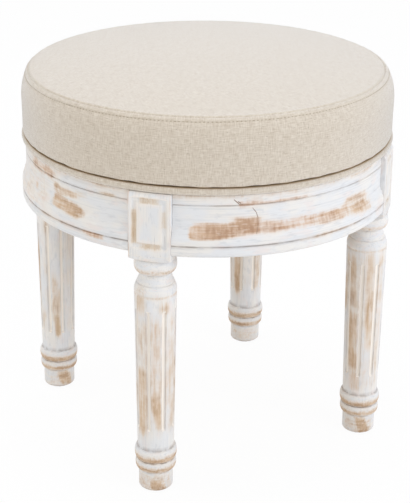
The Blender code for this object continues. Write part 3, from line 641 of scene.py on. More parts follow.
# Cracks in the rails and nail marks in the legs, in the grain's own coordinates: from, to and half width
RAIL_MARKS = [
    ((-0.0585, 0.3385, 0.0), (-0.0545, 0.3335, 0.0), 0.0005),
    ((-0.0545, 0.3335, 0.0), (-0.0525, 0.3275, 0.0), 0.0005),
    ((-0.0525, 0.3275, 0.0), (-0.0522, 0.3190, 0.0), 0.0004),
    ((-0.0522, 0.3190, 0.0), (-0.0545, 0.3105, 0.0), 0.0004),
    ((-0.0785, 0.3485, 0.0), (-0.0733, 0.3439, 0.0), 0.0007),
    ((-0.0740, 0.3462, 0.0), (-0.0715, 0.3446, 0.0), 0.0007),
    ((-0.0730, 0.3434, 0.0), (-0.0600, 0.3430, 0.0), 0.0007),
]
LEG_MARKS = [
    ((1.7800, 0.3085, -0.0205), (1.7800, 0.3115, -0.0205), 0.0011),
]


def painted_wood_finish(name, banding, raggedness, marks, mark_axes):
    """White paint rubbed back to tan wood, with cream undercoat, dark glaze in the lines and scratches, and
    painted shade laid on with the glaze.

    The marks are placed along those of the grain's axes that mark_axes sets to 1.
    """
    finish = Finish(name)
    grain = finish.attribute("grain")
    layer = finish.node("ShaderNodeAttribute", attribute_name="finish").outputs
    rub, glaze_and_shade, cream = finish.node("ShaderNodeSeparateColor", {0: layer["Color"]}).outputs
    noise = {}
    for mark, (along, across, offset, detail) in WOOD_NOISES.items():
        noise[mark] = finish.noise(grain, (along, across, across), offset, detail)
    bands = finish.centred(noise["saw"], banding)
    worn = worn_away(finish, rub, noise, bands, raggedness)
    paint = finish.mixed(finish.step(noise["cloud"], 0.40, 0.60), PAINT_COOL, PAINT_WARM)
    for mark, start, full, strength, shade in PAINT_SHADES:
        paint = finish.tinted(paint, finish.step(noise[mark], start, full), strength, shade)
    paint = finish.tinted(paint, cream, 0.9, CREAM)
    fibre = finish.centred(noise["hair"], 0.36)
    patchy = finish.centred(noise["cloud"], 1.6)
    depth = finish.weighed((bands, 1.0), (fibre, 1.0), (patchy, 1.0), (worn, 0.80))
    woods = [finish.ramp(depth, list(zip(WOOD_STOPS, shades))) for shades in (TAN_WOODS, ROSE_WOODS)]
    base = finish.tinted(paint, worn, 0.95, finish.mixed(layer["Alpha"], *woods))
    broken = finish.rising(finish.step(noise["blotch"], 0.36, 0.60), 0.85, 0.25)
    # Dark glaze, together with the painted shade laid on through the same layer
    base = finish.tinted(base, finish.times(glaze_and_shade, broken), 0.9, GLAZE_AND_SHADE)
    spot = finish.vector("MULTIPLY", grain, mark_axes)
    for start, stop, half_width in marks:
        base = finish.mixed(finish.times(finish.mark(spot, start, stop, half_width), broken), base, CRACK)
    strokes = finish.bump(finish.plus(noise["hair"], noise["brush"]), 0.00012, 0.5)
    return finish.surface({
        "Base Color": base,
        "Roughness": finish.rising(worn, 0.20, 0.52),
        "Specular IOR Level": 0.35,
        "Normal": finish.bump(finish.times(worn, -1.0), 0.00020, 0.5, strokes),
    })


def worn_away(finish, rub, noise, bands, raggedness):
    """How far the paint is gone: the rub that is laid out, broken up along the grain."""
    uneven = finish.weighed(
        (noise["streak"], 0.65), (noise["blotch"], 0.85), (noise["hair"], 0.30), (bands, 1.0))
    uneven = finish.times(finish.plus(uneven, -0.90), finish.step(rub, 0.05, 0.50))
    worn = finish.plus(rub, uneven, clamp=True)
    worn = finish.blend(raggedness, worn, finish.step(worn, 0.25, 0.75))
    kept = finish.times(finish.step(noise["kept"], 0.54, 0.74), raggedness)
    return finish.times(worn, finish.rising(kept, -1.0, 1.0))


PINE_PALE = color(222, 196, 158)
PINE_DARK = color(190, 152, 108)


def bare_wood_finish(name, turn):
    """Unpainted softwood whose grain runs square to the direction of its corner."""
    finish = Finish(name)
    place = finish.scaled(finish.place(), (1.0, 1.0, 1.0), turn=-turn)
    broad = finish.noise(place, (0.010, 0.120, 0.010), detail=3.0)
    fine = finish.noise(place, (0.0008, 0.020, 0.0008))
    rings = finish.math("PINGPONG", finish.times(broad, 9.0), 1.0)
    shade = finish.weighed((rings, 0.6), (fine, 0.4))
    return finish.surface({
        "Base Color": finish.ramp(shade, [(0.2, PINE_PALE), (0.9, PINE_DARK)]),
        "Roughness": finish.rising(fine, 0.2, 0.62),
        "Normal": finish.bump(shade, 0.00015, 0.5),
    })


PLY_PALE = color(214, 190, 152)
PLY_DARK = color(176, 142, 100)
PLY_LAYER = 0.0014


def plywood_finish(name):
    """Plywood: broad figure on its faces and thin layers on its edges."""
    finish = Finish(name)
    place = finish.place()
    figure = finish.noise(place, (0.012, 0.150, 0.012), detail=4.0)
    pores = finish.noise(place, (0.0007, 0.012, 0.0007))
    layer = finish.math("PINGPONG", finish.math("DIVIDE", finish.parts(place)[2], PLY_LAYER), 1.0)
    shade = finish.weighed((figure, 0.6), (pores, 0.3), (finish.step(layer, 0.4, 0.6), 0.15))
    return finish.surface({
        "Base Color": finish.ramp(shade, [(0.25, PLY_PALE), (0.85, PLY_DARK)]),
        "Roughness": finish.rising(pores, 0.2, 0.60),
        "Normal": finish.bump(shade, 0.00012, 0.5),
    })


ZINC_PALE = color(196, 198, 200)
ZINC_DARK = color(150, 152, 156)


def zinc_finish(name):
    """Bright zinc plate: brushed lines and a faint patchy bloom."""
    finish = Finish(name)
    place = finish.place()
    brushed = finish.noise(place, (0.0006, 0.030, 0.0006))
    bloom = finish.noise(place, (0.006, 0.006, 0.006), detail=3.0)
    shade = finish.weighed((brushed, 0.5), (bloom, 0.5))
    return finish.surface({
        "Base Color": finish.ramp(shade, [(0.3, ZINC_DARK), (0.7, ZINC_PALE)]),
        "Metallic": 1.0,
        "Roughness": finish.rising(bloom, 0.30, 0.20),
        "Normal": finish.bump(brushed, 0.00005, 0.4),
    })


FELT_PALE = color(176, 168, 156)
FELT_DARK = color(138, 130, 118)


def felt_finish(name):
    """Pressed felt: short matted fibres."""
    finish = Finish(name)
    place = finish.place()
    fibre = finish.noise(place, (0.0006, 0.0006, 0.0006), detail=4.0, roughness=0.7)
    mat = finish.noise(place, (0.004, 0.004, 0.004))
    shade = finish.weighed((fibre, 0.7), (mat, 0.3))
    return finish.surface({
        "Base Color": finish.ramp(shade, [(0.35, FELT_DARK), (0.65, FELT_PALE)]),
        "Roughness": 0.95,
        "Sheen Weight": 0.3,
        "Normal": finish.bump(fibre, 0.0003, 0.8),
    })


# Cushion

def seat_section():
    """The cushion's section from the middle of the crown to its turned-under edge."""
    ball = (SEAM_RADIUS ** 2 + CROWN_RISE ** 2) / (2 * CROWN_RISE)
    crown = [(radius, CROWN_Z - ball + math.sqrt(ball ** 2 - radius ** 2))
             for radius in np.linspace(0.0, SEAM_RADIUS, 400)]
    start = math.degrees(math.asin(SHOULDER_LEAD / SHOULDER_WIDTH))
    centre_z = SEAM_Z - SHOULDER_DROP * math.cos(math.radians(start))
    shoulder = arc(
        (BAND_RADIUS - SHOULDER_WIDTH, centre_z), (SHOULDER_WIDTH, SHOULDER_DROP), 90 - start, 0, 160)
    band = np.linspace((BAND_RADIUS, centre_z), (COVER_EDGE_RADIUS, COVER_EDGE_Z), 100)
    corner = arc((COVER_EDGE_RADIUS - BAND_EDGE, COVER_EDGE_Z), (BAND_EDGE, BAND_EDGE), 0, -90, 40)
    under_end = (COVER_EDGE_RADIUS - COVER_TURN_UNDER, COVER_LOW_Z)
    under = np.linspace((COVER_EDGE_RADIUS - BAND_EDGE, COVER_LOW_Z), under_end, 60)
    return np.array([*crown, *shoulder[1:], *band[1:], *corner[1:], *under[1:]])


def nearest(section, radius, height):
    """Number of the section's point that lies nearest to a place."""
    return int(np.argmin(np.hypot(section[:, 0] - radius, section[:, 1] - height)))


def eased_section(section, length, seam):
    """The section with the crease at the seam eased to a small round, and its arc lengths."""
    even = np.linspace(0.0, length[-1], SECTION_STEPS)
    step = even[1]
    result = np.stack([np.interp(even, length, section[:, axis]) for axis in (0, 1)], axis=-1)
    reach = int(3 * SEAM_ROUND / step)
    kernel = np.exp(-0.5 * (np.arange(-reach, reach + 1) * step / SEAM_ROUND) ** 2)
    kernel /= kernel.sum()
    near = np.exp(-0.5 * ((even - seam) / (3 * SEAM_ROUND)) ** 2)[:, None]
    rounded = np.stack([np.convolve(np.pad(result[:, axis], reach, mode="edge"), kernel, mode="valid")
                        for axis in (0, 1)], axis=-1)
    return result * (1 - near) + rounded * near, even


def seat_rows(seam, corner, end):
    """Arc lengths of the cushion's rows, close at the seam and the lower edge, and the seam's row."""
    near = np.array(SEAM_ROWS) / 1000
    crown = np.linspace(CROWN_START, seam - CROWN_CLEAR, 40)
    band = np.linspace(seam + BAND_CLEAR, corner - EDGE_CLEAR, 20)
    edge = np.linspace(corner, corner + BAND_EDGE * math.pi / 2, 8)
    under = np.linspace(edge[-1] + UNDER_CLEAR, end, 6)
    seam_row = len(crown) + int(np.argmin(np.abs(near)))
    return np.concatenate([crown, seam + near, band, edge, under]), seam_row


def seam_shift(angles):
    """How much lower than level the seam lies, round the cushion."""
    return SEAM_DROP + SEAM_TILT * np.cos(angles - SEAM_TILT_ANGLE)


def seam_relief(distance):
    """Relief of the sewn edge: a sunk seam, the folded allowance beside it and a sunk row of stitches."""
    fold = FOLD_HEIGHT * smoothstep(*FOLD_RISE, distance) * (1 - smoothstep(*FOLD_FALL, distance))
    return fold + sum(height * bell(distance - place, width) for height, place, width in SEAM_RELIEF)


def seam_puckers(angles, distance, generator):
    """Small gathers where the stitching draws the cloth in."""
    waves = np.zeros_like(angles)
    for count in PUCKER_COUNTS:
        waves += np.cos(angles * count + generator.uniform(0, math.tau)) * generator.uniform(0.4, 1.0)
    return PUCKER_HEIGHT * waves * bell(distance, PUCKER_REACH)


def cover_wave(angles, generator):
    """How far the cover's lower edge wanders up and down, where it is pulled under by hand."""
    waves = ripples(angles, COVER_WAVE_COUNTS, generator)
    return COVER_WAVE * waves / math.sqrt(len(COVER_WAVE_COUNTS))


def is_sewn(place):
    """Whether a place lies at the seam or on the underside, where the cover is held."""
    from_seam = math.hypot(math.hypot(place.x, place.y) - SEAM_RADIUS, place.z - SEAM_Z)
    return from_seam < SWELL_VOXEL or place.z < COVER_LOW_Z + SWELL_VOXEL


def padded_form(section):
    """A slightly smaller closed form of the cushion, in even squares."""
    smaller = section[::-1].copy()
    smaller[:, 0] -= SWELL_INSET * smoothstep(SEAM_RADIUS, BAND_RADIUS, smaller[:, 0])
    smaller[:, 1] -= SWELL_INSET * smoothstep(SEAM_RADIUS, SEAM_RADIUS / 2, smaller[:, 0])
    points = round_points(smaller[:, :1], even_angles(SWELL_COLUMNS), smaller[:, 1:])
    form = bpy.data.objects.new("swelling", grid_mesh("swelling", points))
    bpy.context.scene.collection.objects.link(form)
    remesh = form.modifiers.new("even", "REMESH")
    remesh.mode = "VOXEL"
    remesh.voxel_size = SWELL_VOXEL
    graph = bpy.context.evaluated_depsgraph_get()
    form.data = bpy.data.meshes.new_from_object(form.evaluated_get(graph), depsgraph=graph)
    form.modifiers.clear()
    return form


def swelled_form(section):
    """The padded form blown up as cloth, ready for rays to be cast at it."""
    form = padded_form(section)
    held = form.vertex_groups.new(name="held")
    held.add([vertex.index for vertex in form.data.vertices if is_sewn(vertex.co)], 1.0, "REPLACE")
    cloth = form.modifiers.new("cloth", "CLOTH").settings
    cloth.quality = SWELL_QUALITY
    cloth.tension_stiffness = SWELL_STIFFNESS
    cloth.compression_stiffness = SWELL_STIFFNESS
    cloth.use_pressure = True
    cloth.uniform_pressure_force = SWELL_PRESSURE
    cloth.vertex_group_mass = held.name
    cloth.effector_weights.gravity = 0.0
    scene = bpy.context.scene
    for number in range(1, SWELL_FRAMES + 1):
        scene.frame_set(number)
    mesh = form.evaluated_get(bpy.context.evaluated_depsgraph_get()).to_mesh()
    places = [vertex.co.copy() for vertex in mesh.vertices]
    tree = BVHTree.FromPolygons(places, [tuple(polygon.vertices) for polygon in mesh.polygons])
    scene.frame_set(1)
    data = form.data
    bpy.data.objects.remove(form, do_unlink=True)
    bpy.data.meshes.remove(data)
    return tree


def swell(points, normals, rows):
    """How far the padded form stands off the plain section, smoothed and capped, point by point."""
    tree = swelled_form(np.stack([np.hypot(points[:, 0, 0], points[:, 0, 1]), points[:, 0, 2]], axis=-1))
    columns = points.shape[1]
    heights = np.zeros((len(rows), columns // SWELL_SKIP))
    for row, column in np.ndindex(heights.shape):
        normal = Vector(normals[row, column * SWELL_SKIP])
        start = Vector(points[row, column * SWELL_SKIP]) + normal * SWELL_REACH
        distance = tree.ray_cast(start, -normal, 2 * SWELL_REACH)[3]
        heights[row, column] = 0.0 if distance is None else SWELL_REACH - distance
    heights = SWELL_CAP * np.tanh(np.maximum(heights, -SWELL_DIP) / SWELL_CAP)
    spread = bell(rows[:, None] - rows[None, :], SWELL_BLUR)
    heights = (spread / spread.sum(axis=1, keepdims=True)) @ heights
    broad = np.zeros((len(rows), columns // 2 + 1), complex)
    broad[:, :SWELL_WAVES] = np.fft.rfft(heights, axis=1)[:, :SWELL_WAVES] * SWELL_SKIP
    return np.fft.irfft(broad, columns, axis=1)


def cushion_points():
    """The cushion's rows of points, their normals, the rows' arc lengths, the seam's row and the angles."""
    section = seat_section()
    length = arc_lengths(section)
    seam = length[nearest(section, SEAM_RADIUS, SEAM_Z)]
    section, length = eased_section(section, length, seam)
    edge = length[nearest(section, COVER_EDGE_RADIUS, COVER_EDGE_Z)]
    rows, seam_row = seat_rows(seam, edge, length[-1])
    angles = even_angles(CUSHION_COLUMNS)
    around = np.repeat(angles[None, :], len(rows), axis=0)
    window = bell(rows - seam, SEAM_BLEND) * smoothstep(edge, edge - SEAM_FADE, rows)
    places = rows[:, None] + seam_shift(angles)[None, :] * window[:, None]

    def on_section(places):
        return np.array([np.interp(places, length, section[:, axis]) for axis in (0, 1)])

    radius, height = on_section(places)
    slope = on_section(places + SLOPE_REACH) - on_section(places - SLOPE_REACH)
    slope /= np.hypot(*slope)
    points = round_points(radius, around, height)
    normals = round_points(-slope[1], around, slope[0])
    sewn = smoothstep(edge - COVER_WAVE_REACH, edge, rows)[:, None]
    points[..., 2] += cover_wave(around, np.random.default_rng(8)) * sewn
    distance = (rows - seam)[:, None]
    offset = seam_relief(distance) + seam_puckers(around, distance, np.random.default_rng(5))
    kept = smoothstep(edge + SWELL_FADE[0], edge + SWELL_FADE[1], rows)[:, None]
    offset = offset + swell(points, normals, rows) * kept
    return points + normals * offset[..., None], normals, rows, seam_row, around


def cushion_weave(mesh, points, rows, seam_row, around):
    """Weave coordinates: the top panel is cut flat, and the band is a strip wrapped round."""
    columns = around.shape[1]
    flat = stacked(points[..., 0], points[..., 1], 0.0).reshape(-1, 3)
    strip = stacked(around * SEAT_RADIUS, -rows[:, None], 1.0).reshape(-1, 3)
    vertex = whole_numbers(mesh.loops, "vertex_index")
    row_of, column_of = np.divmod(vertex, columns)
    face_of = np.repeat(np.arange(len(mesh.polygons)), whole_numbers(mesh.polygons, "loop_total"))
    highest = np.zeros(len(mesh.polygons), np.int64)
    np.maximum.at(highest, face_of, row_of)
    on_band = (highest <= seam_row)[face_of]
    values = np.where(on_band[:, None], strip[vertex], flat[vertex])
    closing = np.zeros(len(mesh.polygons), bool)
    np.logical_or.at(closing, face_of, column_of == columns - 1)
    wraps = closing[face_of] & (column_of == 0) & on_band
    values[wraps, 0] += math.tau * SEAT_RADIUS
    set_layer(mesh, "weave", "FLOAT_VECTOR", values, "CORNER")


def build_cushion(linen, thread):
    points, normals, rows, seam_row, around = cushion_points()
    upward = points[::-1]
    mesh = grid_mesh("seat_cushion", upward)
    cushion_weave(mesh, upward, rows[::-1], len(rows) - 1 - seam_row, around[::-1])
    # Painted shadow on the cushion's turned-under lower edge, where it faces the gap above the linen ring
    painted_gap_shadow = smoothstep(COVER_LOW_Z + COVER_SHADOW_START, COVER_LOW_Z + COVER_SHADOW_FULL, upward[..., 2])
    set_layer(mesh, "gap_shadow", "FLOAT", painted_gap_shadow)
    cushion = add_piece(
        "seat_cushion", mesh, linen, "seat", "linen", "seat_cover_top", "seat_cover_band", "seat_foam")
    stitch_row = int(np.argmin(np.abs(rows - rows[seam_row] - STITCH_ROW)))
    build_stitches(points[stitch_row], normals[stitch_row], thread)


def along_line(place, length, line):
    """A point or direction at a distance along a line."""
    return np.array([np.interp(place, length, line[:, axis]) for axis in range(3)])


def build_stitches(path, normals, thread):
    """The row of topstitching below the seam: short bowed lengths of thread, end to end."""
    closed = np.concatenate([path, path[:1]])
    outward = np.concatenate([normals, normals[:1]])
    length = arc_lengths(closed)
    count = int(length[-1] / STITCH_PITCH)
    pitch = length[-1] / count
    turns = even_angles(STITCH_SIDES)
    shape = bmesh.new()
    for stitch in range(count):
        loops = []
        for share in np.linspace(-1, 1, STITCH_RINGS):
            place = pitch * (stitch + 0.5) + share * STITCH_LENGTH / 2
            out = along_line(place, length, outward)
            out /= np.linalg.norm(out)
            around = np.array([-out[1], out[0], 0.0])
            around /= np.linalg.norm(around)
            across = np.cross(out, around)
            centre = along_line(place, length, closed) + out * (STITCH_BOW * (1 - share ** 2) - STITCH_SINK)
            radius = STITCH_RADIUS * math.sqrt(max(1 - share ** 6, STITCH_TIP))
            loops.append([
                shape.verts.new(centre + radius * (math.cos(t) * out + math.sin(t) * across)) for t in turns])
        for low, high in zip(loops, loops[1:]):
            for side in range(STITCH_SIDES):
                after = (side + 1) % STITCH_SIDES
                shape.faces.new((low[side], low[after], high[after], high[side]))
        shape.faces.new(loops[0][::-1])
        shape.faces.new(loops[-1])
    mesh = bpy.data.meshes.new("seat_topstitch")
    shape.to_mesh(mesh)
    shape.free()
    mend_faces(mesh)
    mesh.shade_smooth()
    set_layer(mesh, "weave", "FLOAT_VECTOR", mesh_points(mesh))
    add_piece("seat_topstitch", mesh, thread, "seat", "linen")


# Linen round the platform's edge

def wrap_section():
    """Mid-line of the linen: out over the platform's top, round the lip and down the flare to the wood."""
    half = WRAP_THICKNESS / 2
    lip = WRAP_LIP_RADIUS + WRAP_FULLNESS - half
    top = WRAP_TOP_Z - half
    low = PLATFORM_Z + RAIL_FIT
    low_radius = APRON_TOP_RADIUS - half
    bend_radius = lip - WRAP_LIP_ROUND
    bend_z = top - WRAP_LIP_ROUND
    turn_in = np.linspace((PLATFORM_RADIUS - WRAP_TURN_IN, top), (bend_radius, top), 8)
    round_over = arc((bend_radius, bend_z), (WRAP_LIP_ROUND, WRAP_LIP_ROUND), 90, 0, 9)
    flare = arc((low_radius, bend_z), (lip - low_radius, bend_z - low), 0, -90, 14)
    under = (PLATFORM_RADIUS + WRAP_CLEARANCE + half, low)
    return np.array([*turn_in, *round_over[1:], *flare[1:], under])


def build_wrap(linen):
    section = wrap_section()
    along = np.gradient(section, axis=0)
    along /= np.linalg.norm(along, axis=1, keepdims=True)
    outward = np.stack([-along[:, 1], along[:, 0]], axis=-1) * (WRAP_THICKNESS / 2)
    loop = np.concatenate([section - outward, (section + outward)[::-1]])
    length = arc_lengths(section)
    station = np.concatenate([length, length[::-1]])[:, None]
    angles = even_angles(WRAP_COLUMNS)
    waves = ripples(angles, WRAP_PUCKER_COUNTS, np.random.default_rng(11)) / len(WRAP_PUCKER_COUNTS)
    visible = smoothstep(WRAP_PUCKER_START, WRAP_PUCKER_FULL, station)
    points = round_points(loop[:, :1] - WRAP_PUCKER * (1 + waves) * visible, angles, loop[:, 1:])
    mesh = grid_mesh("platform_linen", np.concatenate([points, points[:1]]), caps=False)
    mend_faces(mesh, weld=1e-6)
    x, y, z = mesh_points(mesh).T
    radius = np.hypot(x, y)
    set_layer(mesh, "weave", "FLOAT_VECTOR", stacked(np.arctan2(y, x) * SEAT_RADIUS, z - radius, 0.0))
    # Painted shadow on the linen ring's rounded lip, under the cushion's edge
    painted_gap_shadow = smoothstep(WRAP_SHADOW_START, WRAP_SHADOW_FULL, radius) * (z > WRAP_TOP_Z - WRAP_LIP_ROUND)
    set_layer(mesh, "gap_shadow", "FLOAT", painted_gap_shadow)
    piece = add_piece("platform_linen", mesh, linen, "base", "linen", "platform_linen_wrap")


# Legs

def leg_turning():
    """(radius, height) points up the turned part, from under the foot's edge to the line under the block."""
    points = arc((FOOT_RADIUS - FOOT_EDGE, FOOT_Z + FOOT_EDGE), (FOOT_EDGE, FOOT_EDGE), -90, 0, 6)
    points += [(FOOT_RADIUS, z) for z in np.linspace(FOOT_Z + FOOT_EDGE, RING_LOW_Z, 8)[1:]]
    for low, height, inset in (
            (RING_LOW_Z, LOW_RING_HEIGHT, LOW_RING_INSET), (RING_HIGH_Z, HIGH_RING_HEIGHT, HIGH_RING_INSET)):
        reach = BLOCK_HALF - inset - SHAFT_BOTTOM_RADIUS
        points += arc((SHAFT_BOTTOM_RADIUS, low + height / 2), (reach, height / 2), -90, 90, 15)
    points += [(shaft_radius(z), z) for z in shaft_levels()]
    points += flare_points()
    root = BLOCK_HALF - COLLAR_INSET - COLLAR_UNDERCUT
    half = COLLAR_HEIGHT / 2
    points.append((NECK_RADIUS, COLLAR_LOW_Z))
    points += arc((root, COLLAR_LOW_Z + half), (COLLAR_UNDERCUT, half), -90, 60, 18)
    points.append((root + COLLAR_UNDERCUT / 2 - LINE_DEPTH, COLLAR_TOP_Z))
    return points


def flare_points():
    """The flare from the shaft's top to the neck, with a fine crease."""
    crease = CREASE_RISE / FLARE_HEIGHT
    half = CREASE_WIDTH / 2 / FLARE_HEIGHT
    points = []
    for share in np.sort([*np.linspace(0, 1, 14), crease - half, crease, crease + half]):
        sunk = CREASE_DEPTH * max(1.0 - abs(share - crease) / half, 0.0)
        eased = share + (smoothstep(0.0, 1.0, share) - share) * FLARE_EASE
        points.append((
            SHAFT_TOP_RADIUS + (NECK_RADIUS - SHAFT_TOP_RADIUS) * eased - sunk,
            SHAFT_TOP_Z + (NECK_LOW_Z - SHAFT_TOP_Z) * share))
    return points


def shaft_radius(height):
    share = (height - SHAFT_LOW_Z) / (SHAFT_TOP_Z - SHAFT_LOW_Z)
    radius = SHAFT_BOTTOM_RADIUS + (SHAFT_TOP_RADIUS - SHAFT_BOTTOM_RADIUS) * share
    line = abs(height - (SHAFT_TOP_Z - LINE_DROP)) / (LINE_WIDTH / 2)
    return radius - LINE_DEPTH * max(1.0 - line, 0.0)


def shaft_levels():
    """Heights of the shaft's rows, close together at the flutes' ends and at the ring line."""
    ends = np.array([0.04, 0.18, 0.42, 0.75, 1.1]) * FLUTE_RADIUS
    line = SHAFT_TOP_Z - LINE_DROP + np.array([-1, -0.5, 0, 0.5, 1]) * LINE_WIDTH / 2
    return np.concatenate([
        np.linspace(SHAFT_LOW_Z, FLUTE_LOW_Z - ROW_GAP, 6)[1:], FLUTE_LOW_Z + ends,
        np.linspace(FLUTE_LOW_Z + FLUTE_END_ROWS, FLUTE_TOP_Z - FLUTE_END_ROWS, 48), FLUTE_TOP_Z - ends[::-1],
        np.linspace(FLUTE_TOP_Z + ROW_GAP, line[0] - 2 * ROW_GAP, 6), line, [SHAFT_TOP_Z - ROW_GAP]])


def flute_offset(angles):
    """Angle of each point from the middle of the nearest flute."""
    pitch = math.tau / FLUTE_COUNT
    return (angles + pitch / 2) % pitch - pitch / 2


def flute_depth(angles, height, radius):
    """Depth of the flutes at one height."""
    across = radius * np.sin(flute_offset(angles))
    past = max(FLUTE_LOW_Z + FLUTE_RADIUS - height, height - FLUTE_TOP_Z + FLUTE_RADIUS, 0.0)
    inside = np.maximum(FLUTE_RADIUS ** 2 - across ** 2 - past ** 2, 0.0)
    return np.maximum(np.sqrt(inside) - (FLUTE_RADIUS - FLUTE_DEPTH), 0.0)


def mirrored_quarters(half):
    """One eighth of a leg's columns, mirrored and turned to go all the way round."""
    half = np.asarray(half)
    x, y = np.concatenate([half[:-1], half[:0:-1, ::-1]]).T
    turns = [(x, y), (-y, x), (-x, -y), (y, -x)]
    return np.concatenate([np.stack(turn, axis=-1) for turn in turns])


def shaft_columns(radius):
    """Angles of the columns on the turned part, close together at the flutes' edges."""
    edge = math.degrees(math.asin(FLUTE_HALF / max(radius, SHAFT_BOTTOM_RADIUS)))
    near = np.array([0.0, 0.35, 0.70, 0.92, 1.02, 1.25]) * edge
    rising = np.concatenate([near, [(near[-1] + 22.5) / 2, 22.5]])
    half = np.radians(np.concatenate([rising, 45.0 - rising[-2::-1]]))
    points = mirrored_quarters(np.stack([np.cos(half), np.sin(half)], -1))
    return np.unwrap(np.arctan2(points[:, 1], points[:, 0]))


def block_columns():
    """Places of the columns on the square block, close together at the panel's groove."""
    flat = np.array([0.0, 0.30, 0.62, 0.94]) * (PANEL_HALF - PANEL_GROOVE_HALF)
    groove = PANEL_HALF + PANEL_GROOVE_HALF * PANEL_GROOVE_ROWS
    straight = BLOCK_HALF - BLOCK_EDGE
    margin = np.array([(groove[-1] + straight) / 2, straight])
    face = [(BLOCK_HALF, across) for across in np.concatenate([flat, groove, margin])]
    corner = arc((straight, straight), (BLOCK_EDGE, BLOCK_EDGE), 0, 45, 3)[1:]
    return mirrored_quarters([*face, *corner])


def panel_depth(across, height):
    """Depth of the rectangular groove on the block's outer face, and the distance from its middle line."""
    side = np.abs(np.abs(across) - PANEL_HALF)
    past = np.maximum(np.maximum(PANEL_LOW_Z - height, height - PANEL_HIGH_Z), 0.0)
    upright = np.hypot(side, past)
    level = np.minimum(np.abs(height - PANEL_LOW_Z), np.abs(height - PANEL_HIGH_Z))
    beyond = np.maximum(np.abs(across) - PANEL_HALF, 0.0)
    distance = np.minimum(upright, np.hypot(level, beyond))
    inside = np.maximum(PANEL_GROOVE_RADIUS ** 2 - distance ** 2, 0.0)
    depth = np.maximum(np.sqrt(inside) - (PANEL_GROOVE_RADIUS - PANEL_GROOVE_DEPTH), 0.0)
    return depth, distance


def block_levels():
    """Heights of the block's rows, close together at the panel's groove."""
    groove = PANEL_GROOVE_HALF * PANEL_GROOVE_ROWS
    return np.concatenate([
        BLOCK_Z + np.array(BLOCK_LOW_ROWS), PANEL_LOW_Z + groove,
        np.linspace(PANEL_LOW_Z + PANEL_CLEAR, PANEL_HIGH_Z - PANEL_CLEAR, 12), PANEL_HIGH_Z + groove,
        BASE_TOP_Z - np.array([*BLOCK_TOP_ROWS, BLOCK_EDGE])])


def leg_rows(turn):
    """Rows of points up a leg that stands on its own axis with the block's outer face towards +X."""
    square = block_columns()
    x, y = square.T
    square_angles = np.unwrap(np.arctan2(y, x))
    rows = []
    for radius, height in leg_turning():
        share = smoothstep(COLLAR_LOW_Z, COLLAR_TOP_Z, height)
        angles = (shaft_columns(radius) + turn) * (1 - share) + square_angles * share
        fluted = FLUTE_LOW_Z <= height <= FLUTE_TOP_Z
        depth = flute_depth(angles - turn, height, radius) if fluted else 0.0
        rows.append(round_points(radius - depth, angles, height))
    root = BLOCK_HALF - COLLAR_INSET - COLLAR_UNDERCUT / 2
    reach = BLOCK_HALF * math.sqrt(2) + POMMEL_OVERRUN - root
    last = -np.arccos((np.hypot(x, y) - root) / reach)
    for share in np.linspace(0, 1, POMMEL_ROWS):
        sweep = POMMEL_START + (last - POMMEL_START) * share
        radius = root + reach * np.cos(sweep)
        rows.append(round_points(radius, square_angles, BLOCK_Z + POMMEL_HEIGHT * np.sin(sweep)))
    outer = np.isclose(x, BLOCK_HALF)
    for height in block_levels():
        depth, _ = panel_depth(y, height)
        rows.append(stacked(x - depth * outer, y, height))
    for sweep in np.radians([30, 60, 90]):
        shrink = 1 - BLOCK_EDGE * (1 - math.cos(sweep)) / BLOCK_HALF
        rows.append(stacked(x * shrink, y * shrink, BASE_TOP_Z - BLOCK_EDGE * (1 - math.sin(sweep))))
    return np.array(rows)


# A rubbed stroke: strength, redness, its sides at some stations, and how wide its edges and ends fade
Stroke = namedtuple("Stroke", "strength hue stations edge start end", defaults=(1.0, 1.0, 1.0))
STROKE_EDGE = 0.0036
STROKE_EDGE_DEGREES = 12.0
STROKE_END = 0.013
PLAIN_RUB = 0.08
PLAIN_HUE = 0.4
PLAIN_WEIGHT = 0.02


def stroke_field(stroke, along, across, edge, end):
    """How strongly a rubbed stroke shows: its sides run through its stations, and its edges fade out."""
    place, low, high = np.array(stroke.stations).T
    side = edge * stroke.edge
    above = smoothstep(-side, side, across - np.interp(along, place, low))
    below = smoothstep(-side, side, np.interp(along, place, high) - across)
    first, last = end * stroke.start, end * stroke.end
    begun = smoothstep(place[0] - first, place[0] + first, along)
    ended = smoothstep(place[-1] + last, place[-1] - last, along)
    return stroke.strength * above * below * begun * ended


def rubbed(strokes, along, across, edge, end):
    """Rub and redness where strokes lie on a surface; across gives each stroke its sideways places."""
    rub = np.full_like(along, PLAIN_RUB)
    weight = np.full_like(along, PLAIN_WEIGHT)
    tint = weight * PLAIN_HUE
    for stroke in strokes:
        field = stroke_field(stroke, along, across(stroke), edge, end)
        rub = np.maximum(rub, field)
        weight = weight + field
        tint = tint + field * stroke.hue
    return rub, tint / weight


